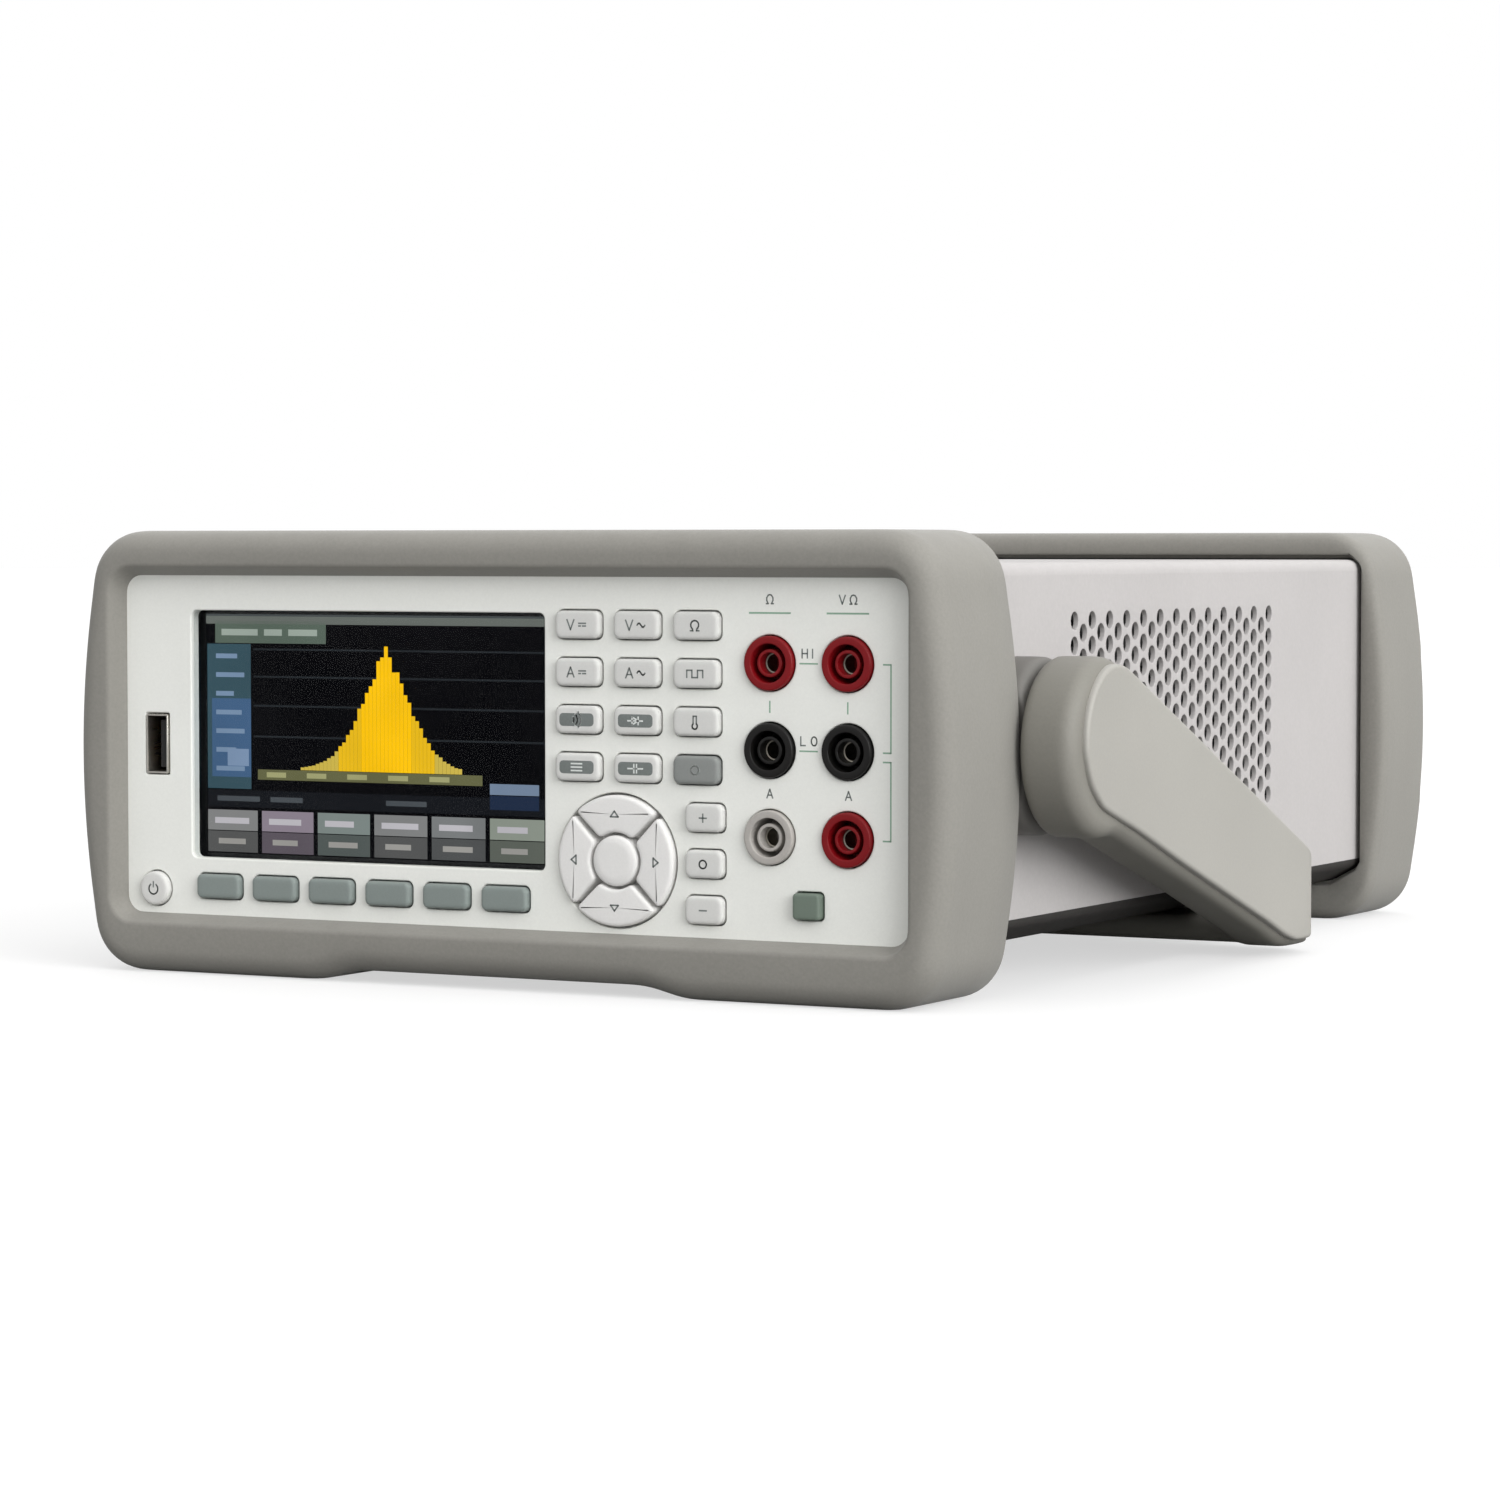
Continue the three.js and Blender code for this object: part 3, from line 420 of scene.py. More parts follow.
def triangulate(loops, inner=()):
    """(points, triangles) inside the first loop and outside the convex holes after it."""
    points, edges, owner = [], [], []
    for k, loop in enumerate(loops):
        start = len(points)
        points += [Vector(p) for p in loop]
        owner += [k] * len(loop)
        edges += [(start + j, start + (j + 1) % len(loop)) for j in range(len(loop))]
    points += [Vector(p) for p in inner]
    owner += [-1 - i for i in range(len(inner))]
    placed, _, faces, origins, _, _ = delaunay_2d_cdt(points, edges, [], 1, 1e-6)
    own = [owner[o[0]] if o else 0 for o in origins]
    kept = [f for f in faces if not (own[f[0]] and len({own[i] for i in f}) == 1)]
    return [tuple(p) for p in placed], kept


# ------------------------------------------------------------------ mesh tools
def upright(u, v, t):
    """Places a plate across the instrument, with its thickness along y."""
    return (u, t, v)


class Build:
    """Collects points, in millimetres, and faces into one mesh."""

    def __init__(self):
        self.points, self.faces = [], []

    def ring(self, points):
        start = len(self.points)
        self.points += [tuple(p) for p in points]
        return list(range(start, len(self.points)))

    def strip(self, a, b, closed=True):
        count = len(a)
        for i in range(count if closed else count - 1):
            j = (i + 1) % count
            self.faces.append((a[i], a[j], b[j], b[i]))

    def fan(self, ring, centre):
        middle = self.ring([centre])[0]
        for i in range(len(ring)):
            self.faces.append((ring[i], ring[(i + 1) % len(ring)], middle))

    def sheet(self, points, triangles):
        start = self.ring(points)[0]
        self.faces += [tuple(start + i for i in f) for f in triangles]

    def loft(self, rings, caps=True, cyclic=False):
        placed = [self.ring(r) for r in rings]
        for a, b in zip(placed, placed[1:]):
            self.strip(a, b)
        if cyclic:
            self.strip(placed[-1], placed[0])
        elif caps:
            for ring in (placed[0], placed[-1]):
                points = [self.points[i] for i in ring]
                self.fan(ring, tuple(sum(p[j] for p in points) / len(points) for j in range(3)))
        return placed

    def stack(self, outline, stations, **options):
        """Lofts an outline function through stations of (growth, y)."""
        rings = [[(x, y, z) for x, z in outline(grow)] for grow, y in stations]
        return self.loft(rings, **options)

    def box(self, x0, x1, y0, y1, z0, z1):
        low = self.ring([(x0, y0, z0), (x1, y0, z0), (x1, y1, z0), (x0, y1, z0)])
        high = self.ring([(x0, y0, z1), (x1, y0, z1), (x1, y1, z1), (x0, y1, z1)])
        self.strip(low, high)
        self.faces += [tuple(reversed(low)), tuple(high)]

    def lathe(self, profile, x, z, sides, closed=False):
        """Turns a profile of (radius, y) about a line along y."""
        stations = [(max(radius, 1e-4), y) for radius, y in profile]
        self.stack(circle(x, z, 0.0, sides), stations, cyclic=closed)

    def plate(self, outer, holes, front, back, place=upright, edge=0.0, outer_edge=0.0, steps=1):
        """A flat plate with holes and, where edge is not zero, rounded front edges."""
        points, tri = triangulate([outer(-outer_edge)] + [h(edge) for h in holes])
        self.sheet([place(u, v, front) for u, v in points], tri)
        points, tri = triangulate([outer(0)] + [h(0) for h in holes])
        self.sheet([place(u, v, back) for u, v in points], [list(f)[::-1] for f in tri])
        angles = [math.pi / 2 * k / steps for k in range(steps + 1)]
        for outline, size in [(outer, -outer_edge)] + [(h, edge) for h in holes]:
            rings = []
            for a in angles:
                t = front + (1 - math.cos(a)) * edge
                rings.append([place(u, v, t) for u, v in outline(size * (1 - math.sin(a)))])
            rings.append([place(u, v, back) for u, v in outline(0)])
            self.loft(rings, caps=False)

    def obj(
        self, name, material, slot=None, replaces=None, body="housing", sharp=38, merge=0.002,
        bevel=None, flat=False,
    ):
        """Makes the object; merge and bevel are in millimetres, sharp in degrees."""
        mesh = bpy.data.meshes.new(name)
        mesh.from_pydata([at(*p) for p in self.points], [], self.faces)
        mesh.materials.append(MATERIALS[material])
        bm = bmesh.new()
        bm.from_mesh(mesh)
        bmesh.ops.remove_doubles(bm, verts=bm.verts, dist=merge * MM)
        bmesh.ops.dissolve_degenerate(bm, edges=bm.edges, dist=1e-7)
        bmesh.ops.recalc_face_normals(bm, faces=bm.faces)
        if bm.calc_volume(signed=True) < 0:
            bmesh.ops.reverse_faces(bm, faces=bm.faces)
        bm.to_mesh(mesh)
        bm.free()
        shade_smooth(mesh, sharp)
        item = link_object(name, mesh)
        if bevel:
            rounding = item.modifiers.new("edges", "BEVEL")
            rounding.width, rounding.segments = bevel * MM, 2
            rounding.limit_method, rounding.angle_limit = "ANGLE", math.radians(40)
        if flat or bevel:
            normals = item.modifiers.new("flat_faces", "WEIGHTED_NORMAL")
            normals.keep_sharp, normals.weight = True, 100
        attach(item, body)
        if replaces:
            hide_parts(replaces)
        return item


def shade_smooth(mesh, sharp):
    mesh.polygons.foreach_set("use_smooth", [True] * len(mesh.polygons))
    mesh.set_sharp_from_angle(angle=math.radians(sharp))


def boxes(name, material, slot, rows, **options):
    """One object made of boxes, each (x0, x1, y0, y1, z0, z1)."""
    piece = Build()
    for row in rows:
        piece.box(*row)
    piece.obj(name, material, slot, **options)


def turned(name, material, slot, profile, x, z, sides, closed=False, sharp=40, **options):
    """One object turned about a line along y."""
    piece = Build()
    piece.lathe(profile, x, z, sides, closed)
    piece.obj(name, material, slot, sharp=sharp, **options)


# ------------------------------------------------------------------ case and bumper outlines
def case_outline(inset):
    """The sleeve's section, moved in, with its folds rounded."""
    half, chamfer_x = CASE_HALF - inset, CASE_HALF - CHAMFER_WIDTH
    slope = math.hypot(CHAMFER_WIDTH, CHAMFER_HEIGHT)
    chamfer_top = CASE_BOTTOM + (
        CHAMFER_HEIGHT * (half - chamfer_x) + slope * inset
    ) / CHAMFER_WIDTH
    low_x = chamfer_x + (CHAMFER_WIDTH * inset - slope * inset) / CHAMFER_HEIGHT
    right = [
        (low_x, CASE_BOTTOM + inset, 1.6),
        (half, chamfer_top, 1.6),
        (half, CASE_TOP - inset, max(3 - inset, 0.4)),
    ]
    mirrored = [(-x, z, size) for x, z, size in reversed(right)]
    return ccw(fillet(right + mirrored, 6, closed=True))


def bumper_outline():
    """Bowed sides, rounded corners and a shallow recess under the middle."""
    half, mid, radius, bow = 114.85, HEIGHT / 2, 13.0, 3.4
    side = lambda z: half - bow * ((z - mid) / 39) ** 2
    cx = side(HEIGHT - radius) - radius
    right = [polar(cx, radius, radius, d) for d in np.arange(-90, -8, 4)]
    right += [(side(z), z) for z in np.arange(radius + 1, HEIGHT - radius - 0.5, 2.0)]
    right += [polar(cx, HEIGHT - radius, radius, d) for d in np.arange(10, 91, 4)]
    bottom = [(x, 2.6 * smoothstep((50 - abs(x)) / 14)) for x in np.arange(-60, 60.1, 1.5)]
    points = right + [(-x, z) for x, z in reversed(right)] + bottom
    return [(x * 1.0006, max(z, 0.0)) for x, z in relax(resample(points, 1.6), 3)]


BUMPER = bumper_outline()


def bumper(name, stations):
    """Lofts stations of (outline, size, y), y being a number or a function of x and z.

    Without an outline the bumper's own is moved in by size; otherwise it is the nearest
    place on that outline function at that size.
    """
    rings = []
    for outline, size, y in stations:
        if outline:
            loop = nearest(inward(BUMPER, 6), outline(size))
        else:
            loop = inward(BUMPER, size)
        rings.append([(x, y(x, z) if callable(y) else y, z) for x, z in loop])
    piece = Build()
    piece.loft(rings, cyclic=True)
    piece.obj(name + "_skin", "rubber", "bumper_rubber", name, sharp=50)


def front_bumper():
    opening = rounded_rect(0, 53.6, 209.2, 83.2, 6, 8)
    stations = []
    for k in range(9):  # from the side wall round to the front
        angle = math.pi / 2 * k / 8
        stations.append((None, 5.4 * (1 - math.cos(angle)), 6.0 * (1 - math.sin(angle))))
    stations += [
        (opening, 1.1, 0.0), (opening, 0.5, 0.08), (opening, 0.15, 0.35), (opening, 0.0, 0.7),
        (opening, -1.7, 4.6), (opening, -1.9, 5.2),
        (case_outline, -0.35, 5.3), (case_outline, -0.35, 35.9), (case_outline, -0.9, 36.5),
        (None, 1.2, 36.5), (None, 0.35, 36.15), (None, 0.0, 35.4), (None, 0.0, 26.0),
        (None, 0.0, 16.0),
    ]
    bumper("front_bumper", stations)


def pad_drop(x, z):
    """How far the back lies in front of its raised corner pads."""
    return 2.0 * (1 - smoothstep((abs(x) - 58) / 5) * smoothstep((abs(z - 52) - 17) / 4))


def back_face(ahead, share=1.0):
    """y of the bumper's back, a distance ahead of the pads, with a share of the pad drop."""
    return lambda x, z: DEPTH - ahead - pad_drop(x, z) * share


def rear_bumper():
    opening = rounded_rect(0, 52.4, 196, 77, 8, 8)
    stations = [(None, 0.0, 278.0), (None, 0.0, 288.0)]
    for k in range(9):
        angle = math.pi / 2 * k / 8
        turn = math.sin(angle)
        stations.append((None, 3.6 * (1 - math.cos(angle)), back_face(3.8 * (1 - turn), turn)))
    stations += [
        (opening, 0.9, back_face(0)), (opening, 0.3, back_face(0.25)),
        (opening, 0.0, back_face(0.9)), (opening, 0.0, 297.0), (opening, -2.8, 286.6),
        (opening, -3.0, 286.3),
        (case_outline, -0.35, 286.3), (case_outline, -0.35, 273.4), (case_outline, -1.25, 273.0),
        (case_outline, -1.3, 270.4), (case_outline, -1.7, 270.0),
        (None, 3.0, 270.0), (None, 1.9, 270.12), (None, 0.9, 270.75), (None, 0.25, 271.8),
        (None, 0.0, 273.2),
    ]
    bumper("rear_bumper", stations)


front_bumper()
rear_bumper()

# ------------------------------------------------------------------ sleeve
WALL_Z = [z for x, z in case_outline(0) if x > CASE_HALF - 1e-3]
WALL_LOW = max(z for z in WALL_Z if z < 40)
WALL_HIGH = min(z for z in WALL_Z if z > 60)


def side_place(face_x, sx):
    """Places a plate along a side wall, with its thickness running inwards from face_x."""
    return lambda u, v, t: (sx * (face_x - t), u, v)


def case_run(inset, side):
    """The case outline over the top (side 1) or under the bottom (side -1), wall to wall."""
    points = case_outline(inset)
    count, half = len(points), CASE_HALF - inset
    on_wall = lambda i, sx: abs(sx * points[i % count][0] - half) < 1e-3
    before = lambda i: on_wall(i, side) and (points[i % count][1] > 50) == (side > 0)
    start = next(i for i in range(count) if before(i) and not before(i + 1))
    end = next(i for i in range(start, start + count) if on_wall(i, -side))
    run = [points[i % count] for i in range(start + 1, end)]
    z = WALL_HIGH if side > 0 else WALL_LOW
    return [(side * half, z)] + run + [(-side * half, z)]


def folded(piece, side):
    """A bent strip of sheet, closed all round."""
    outer, inner = case_run(0, side), case_run(SHEET, side)
    corners = (
        (outer, SLEEVE_FRONT), (outer, SLEEVE_BACK), (inner, SLEEVE_BACK), (inner, SLEEVE_FRONT)
    )
    rings = [piece.ring([(x, y, z) for x, z in run]) for run, y in corners]
    for a, b in zip(rings, rings[1:] + rings[:1]):
        piece.strip(a, b, closed=False)
    for k in (0, -1):
        piece.faces.append(tuple(ring[k] for ring in rings))


def sleeve():
    """Top and sides with staggered round vents, then the underside, darkened with painted shade."""
    first_y, pitch_y, pitch_z, radius = 82.5, 5.08, 5.75, 2.1
    holes = []
    for column in range(25):
        for row in range(9):
            z = 37.0 + row * pitch_z + (pitch_z / 2 if column % 2 else 0)
            if z < 84:
                holes.append(circle(first_y + 2 + column * pitch_y, z, radius, 14))
    holes.append(circle(PIVOT_Y, PIVOT_Z, 6.5, 24))
    wall = lambda grow: [
        (SLEEVE_FRONT, WALL_LOW), (SLEEVE_BACK, WALL_LOW),
        (SLEEVE_BACK, WALL_HIGH), (SLEEVE_FRONT, WALL_HIGH),
    ]
    shell = Build()
    for sx in (1, -1):
        shell.plate(wall, holes, 0.0, SHEET, side_place(CASE_HALF, sx), edge=0.25, steps=2)
    folded(shell, 1)
    options = dict(sharp=30, merge=0.0001, flat=True)
    shell.obj("sleeve_shell", "painted_sheet", "painted_sheet", "case_sleeve", **options)
    # The underside is painted near-black: painted shade for the shadow under the case.
    underside = Build()
    folded(underside, -1)
    underside.obj("sleeve_underside", "underside_painted_shade", "painted_sheet", **options)


def vent_screens():
    """Dark perforated screens inside the vents."""
    pitch = 4.6
    holes = [
        circle(86 + pitch * c, 34 + pitch * r + (pitch / 2 if c % 2 else 0), 0.9, 8)
        for c in range(28) for r in range(11)
    ]
    piece = Build()
    for sx in (1, -1):
        outline = rounded_rect(149, 60.5, 142, 60, 2, 4)
        piece.plate(outline, holes, 0.0, 0.5, side_place(102.8, sx))
    piece.obj("vent_screens", "black_plastic", "bare_sheet", sharp=30, flat=True)


sleeve()
vent_screens()


# ------------------------------------------------------------------ bezel
def bezel():
    def cap_hole(x, z, size, radius):
        return rounded_rect(x, z, size[0] + 0.6, size[1] + 0.6, radius + 0.3)

    holes = [rounded_rect(WINDOW_X, WINDOW_Z, WINDOW_W, WINDOW_H, 1.5)]
    holes += [cap_hole(x, SOFT_Z, SOFT_SIZE, 1.2) for x in SOFT_X]
    holes += [cap_hole(x, z, KEY_SIZE, 1.4) for z in KEY_Z for x in KEY_X]
    holes += [cap_hole(RANGE_X, z, RANGE_SIZE, 1.4) for z in RANGE_Z]
    holes += [cap_hole(*SWITCH, SWITCH_SIZE, 0.8), circle(NAV_X, NAV_Z, NAV_R + 0.5, 64)]
    holes += [circle(*POWER, POWER_R + 0.3), rounded_rect(USB_X, USB_Z, 6.8, 14.6, 0.5)]
    holes += [circle(x, z, 6.25, 48) for x in JACK_X for z in JACK_Z]
    piece = Build()
    outer = lambda grow: case_outline(0.2 - grow)
    piece.plate(outer, holes, FACE, FACE + 3, edge=0.35, outer_edge=0.35, steps=3)
    rim = (  # (inset, y)
        (1.7, FACE + 2.9), (1.7, 25.6), (2.1, 26.0), (3.2, 26.0), (3.6, 25.6), (3.6, FACE + 2.9)
    )
    piece.stack(case_outline, rim, cyclic=True)
    piece.obj("bezel_face", "bezel_plastic", "bezel_plastic", "front_bezel", sharp=32, flat=True)


bezel()

# ------------------------------------------------------------------ display
pane = Build()
pane.stack(
    rounded_rect(WINDOW_X, WINDOW_Z, WINDOW_W - 0.5, WINDOW_H - 0.5, 1.2),
    ((-0.5, 5.5), (-0.15, 5.6), (0, 5.95), (0, 8.4), (1.2, 8.45), (1.2, 9.3)),
)
pane.obj("window_pane", "window_glass", "display_window", "display_lens", sharp=40)

boxes("display_panel", "display_body", "display_panel", (
    (WINDOW_X - 50.5, WINDOW_X + 49.5, 9.9, 13.2, WINDOW_Z - 30.2, WINDOW_Z + 30.6),
    (WINDOW_X - 30, WINDOW_X + 30, 13.1, 15.6, WINDOW_Z - 24, WINDOW_Z + 24),
), replaces="display_module", bevel=0.4)

# The picture is laid out from the screen's lower left corner.
SCREEN_W, SCREEN_H = WINDOW_W - 1.8, WINDOW_H - 1.8
SCREEN_X, SCREEN_Z = WINDOW_X - SCREEN_W / 2, WINDOW_Z - SCREEN_H / 2


def patch(name, code, layer, rects, strength=1.0, gain=1.0):
    """Lit patches (x0, x1, z0, z1); higher layers lie further forward."""
    glow(name + "_lit", rgb(code, gain), strength)
    y = 9.86 - 0.03 * layer
    rows = [
        (SCREEN_X + x0, SCREEN_X + x1, y, y + 0.02, SCREEN_Z + z0, SCREEN_Z + z1)
        for x0, x1, z0, z1 in rects
    ]
    boxes(name, name + "_lit", "display_panel", rows)


def histogram(base_z):
    """Narrow bars under a bell with wide skirts, dimmer towards the tails."""
    middle_x, height, pitch = 50.15, 29.0, 1.05
    groups = {"core": [], "flank": [], "tail": []}
    for i in range(-22, 20):
        x = i * pitch
        bell = 0.22 * math.exp(-abs(x) / 2.4)
        bell += 0.60 * math.exp(-(x * x) / (2 * 6.6**2))
        bell += 0.18 * math.exp(-(x * x) / (2 * 11.0**2))
        top = height * bell * (1 + 0.035 * math.sin(i * 2.4) + 0.025 * math.sin(i * 5.1))
        if top < 0.6:
            continue
        group = "core" if abs(i) < 7 else "flank" if abs(i) < 13 else "tail"
        left = middle_x + x - pitch / 2
        groups[group].append((left, left + pitch - 0.05, base_z, base_z + top))
    patch("screen_bars_core", "ffc40a", 3, groups["core"], strength=1.15)
    patch("screen_bars_flank", "f9c51c", 3, groups["flank"])
    patch("screen_bars_tail", "e2c654", 3, groups["tail"], strength=0.9)


def softkey_labels():
    tones = ("8a8a8a", "938794", "838d8a", "868686", "7f8182", "959c91")
    for i, (x, tone) in enumerate(zip(SOFT_X, tones)):
        x0 = max(x - 7.2 - SCREEN_X, 0.3)
        x1 = min(x + 7.2 - SCREEN_X, SCREEN_W - 1.3)
        name = f"screen_label_{i + 1}"
        patch(name, tone, 1, [(x0, x1, 5.4, 10.2)])
        patch(name + "_low", tone, 1, [(x0, x1, 0.3, 5.2)], gain=0.42)
        patch(name + "_mark", "c6c2c8", 2, [(x0 + 2.0, x1 - 2.4 - i % 3, 7.0, 8.4)])
        patch(name + "_mark_low", "a3a09c", 2, [(x0 + 3.0, x1 - 3.4 - i % 2, 2.2, 3.5)])


patch("screen_base", "030306", 0, [(0, SCREEN_W, 0, SCREEN_H)])
patch("screen_tab", "5c6a5f", 1, [(2.6, 33.6, 49.4, 54.6)])
patch("screen_tab_line", "a3aea4", 2,
      [(x0, x1, 51.2, 52.7) for x0, x1 in ((4.4, 14.6), (16.4, 21.4), (23.2, 31.2))])
patch("screen_side", "3a5560", 1, [(0.3, 12.6, 15.2, 49.2)])
patch("screen_side_low", "46658a", 2, [(1.6, 12.6, 18.0, 36.4)])
patch("screen_side_rows", "7d95b2", 3,
      [(2.8, 2.8 + width, 45.8 - 4.4 * i, 46.9 - 4.4 * i)
       for i, width in enumerate((6.0, 8.0, 5.0, 7.2, 8.0, 5.6, 8.0))])
patch("screen_side_mark", "8299b8", 4, [(6.0, 12.0, 20.6, 24.6)])
patch("screen_grid", "272b2f", 1,
      [(13.4, SCREEN_W - 1.6, z - 0.22, z + 0.22) for z in (27.6, 34.8, 41.6, 48.0)])
patch("screen_frame", "4c5152", 1,
      [(SCREEN_W - 1.1, SCREEN_W, 0, SCREEN_H), (0, SCREEN_W - 1.1, SCREEN_H - 0.5, SCREEN_H)])
patch("screen_header", "6c716c", 1, [(0, SCREEN_W - 1.1, SCREEN_H - 2.3, SCREEN_H - 0.5)])
histogram(base_z=20.0)
patch("screen_axis", "6a6a48", 2, [(14.5, 76.0, 17.5, 19.9)])
patch("screen_axis_marks", "a9a878", 3,
      [(17.0 + 11.2 * i, 22.4 + 11.2 * i, 18.1, 19.3) for i in range(5)])
patch("screen_status", "15171c", 1, [(0.3, SCREEN_W - 1.6, 10.9, 14.9)])
patch("screen_status_marks", "4d5257", 2,
      [(x0, x1, 12.3, 13.5) for x0, x1 in ((3.0, 15.0), (18.0, 27.0), (50.0, 61.0))])
patch("screen_box", "7d8fa8", 3, [(SCREEN_W - 16.4, SCREEN_W - 3.4, 15.6, 18.1)])
patch("screen_box_low", "22304a", 3, [(SCREEN_W - 16.4, SCREEN_W - 3.4, 12.2, 15.4)])
softkey_labels()


# ------------------------------------------------------------------ key tools
def cap_profile(face, inset, edge, rise, flange):
    """(growth, y) from the front of a key, over its rounded edge and flange, to its back."""
    front = face + 0.02
    profile = [(-inset, front)]
    for i in range(1, 6):
        angle = math.pi / 2 * i / 5
        profile.append((-edge * (1 - math.sin(angle)), front + rise * (1 - math.cos(angle))))
    return profile + [(0, 8.35), (flange, 8.4), (flange, 9.6), (0, 9.65), (0, 15.0)]


def cap(name, node, outline, material, slot="key_plastic", face=CAP, edge=0.9):
    loop = outline(0)
    cx = sum(x for x, z in loop) / len(loop)
    cz = sum(z for x, z in loop) / len(loop)
    inset = edge + 0.25
    rings = []
    for scale in (0.001, 0.35, 0.7):  # across the flat front
        ring = [(cx + (x - cx) * scale, cz + (z - cz) * scale) for x, z in outline(-inset)]
        rings.append([(x, face + 0.02, z) for x, z in ring])
    for grow, y in cap_profile(face, inset, edge, rise=edge * 0.85, flange=1.0):
        rings.append([(x, y, z) for x, z in outline(grow)])
    piece = Build()
    piece.loft(rings)
    piece.obj(name, material, slot, node, body=node + "_body", sharp=45, flat=True)


def ribbon(piece, points, width, y):
    """A thin printed stroke along points (x, z), with its front at y."""
    for start, end in zip(points, points[1:]):
        start, end = Vector(start), Vector(end)
        along = (end - start).normalized()
        across = Vector((-along.y, along.x)) * width / 2
        start = start - along * width * 0.35
        end = end + along * width * 0.35
        corners = [start + across, start - across, end - across, end + across]
        front = piece.ring([(q.x, y, q.y) for q in corners])
        back = piece.ring([(q.x, y + 0.03, q.y) for q in corners])
        piece.strip(front, back)
        piece.faces += [tuple(front), tuple(reversed(back))]


def arc(cx, cz, radius, start, end, steps=14):
    return [polar(cx, cz, radius, start + (end - start) * k / steps) for k in range(steps + 1)]


def volt_sign(x):
    return [[(x - 0.9, 1.1), (x, -1.1), (x + 0.9, 1.1)]]


def amp_sign(x):
    return [[(x - 0.9, -1.1), (x, 1.1), (x + 0.9, -1.1)], [(x - 0.55, -0.35), (x + 0.55, -0.35)]]


def ohm_sign(x):
    curve = arc(x, 0.15, 1.0, 235, -55)
    return [[(x - 1.1, -1.1), (x - 0.45, -1.1)] + curve + [(x + 0.45, -1.1), (x + 1.1, -1.1)]]


DC = [[(0.6, 0.3), (2.4, 0.3)], [(0.6, -0.3), (1.1, -0.3)], [(1.6, -0.3), (2.4, -0.3)]]
AC = [[(0.5 + 0.2 * k, 0.45 * math.sin(k * math.pi / 5)) for k in range(11)]]

# Strokes of (x, z) about the middle of each sign, about 4 mm wide.
SIGNS = {
    "dcv": volt_sign(-1.5) + DC,
    "acv": volt_sign(-1.5) + AC,
    "dca": amp_sign(-1.5) + DC,
    "aca": amp_sign(-1.5) + AC,
    "ohm": ohm_sign(0),
    "square": [[(-2, -0.8), (-2, 0.8), (-0.7, 0.8), (-0.7, -0.8), (0.7, -0.8), (0.7, 0.8),
                (2, 0.8), (2, -0.8)]],
    "diode": [[(-2.2, 0), (2.2, 0)], [(-0.9, 1), (-0.9, -1), (0.9, 0), (-0.9, 1)],
              [(0.9, 1), (0.9, -1)]],
    "buzz": [arc(-1.6, 0, radius, -50, 50) for radius in (0.9, 1.9, 2.9)],
    "cap": [[(-2.2, 0), (-0.4, 0)], [(0.4, 0), (2.2, 0)], [(-0.4, 1.1), (-0.4, -1.1)],
            [(0.4, 1.1), (0.4, -1.1)]],
    "therm": [[(-0.4, 1.3), (-0.4, -0.4)] + arc(0, -0.9, 0.65, 130, 410)
              + [(0.4, -0.4), (0.4, 1.3), (-0.4, 1.3)]],
    "menu": [[(-1.6, z), (1.6, z)] for z in (0.9, 0, -0.9)],
    "up": [[(-1.1, -0.6), (0, 0.8), (1.1, -0.6), (-1.1, -0.6)]],
    "down": [[(-1.1, 0.6), (0, -0.8), (1.1, 0.6), (-1.1, 0.6)]],
    "left": [[(0.6, -1.1), (-0.8, 0), (0.6, 1.1), (0.6, -1.1)]],
    "right": [[(-0.6, -1.1), (0.8, 0), (-0.6, 1.1), (-0.6, -1.1)]],
    "plus": [[(-1, 0), (1, 0)], [(0, -1), (0, 1)]],
    "minus": [[(-1, 0), (1, 0)]],
    "dot": [arc(0, 0, 1.0, 0, 360, 20)],
    "standby": [arc(0, -0.1, 1.2, 125, 415, 20), [(0, 0.3), (0, 1.5)]],
}


def legend(
    name, node, sign, x, z, slot="key_plastic", face=CAP, width=0.34, ink="legend_ink", scale=1.0
):
    piece = Build()
    for stroke in SIGNS[sign]:
        ribbon(piece, [(x + u * scale, z + v * scale) for u, v in stroke], width, face - 0.012)
    piece.obj(name, ink, slot, body=node + "_body", sharp=60)


# ------------------------------------------------------------------ keys
def main_key(row, column, sign):
    x, z = KEY_X[column], KEY_Z[row]
    node = f"key_row{row + 1}_col{column + 1}"
    dark = (row, column) == (3, 2)
    striped = row > 1 and column < 2
    slot = "key_dark_plastic" if dark else "key_plastic"
    material = "key_rubber_dark" if dark else "key_rubber"
    cap(node + "_cap", node, rounded_rect(x, z, *KEY_SIZE, 1.7), material, slot)
    if striped:
        stripe = Build()
        outline = rounded_rect(x, z, 8.8, 2.9, 0.9, 4)
        stripe.stack(outline, ((0, CAP + 0.05), (0, CAP), (-0.1, CAP - 0.01)))
        stripe.obj(node + "_stripe", "legend_ink", slot, body=node + "_body", sharp=50)
    legend(
        node + "_sign", node, sign, x, z, slot,
        face=CAP - 0.012 if striped else CAP,
        ink="legend_ink_light" if dark or striped else "legend_ink",
        scale=0.86 if striped else 1.0,
    )


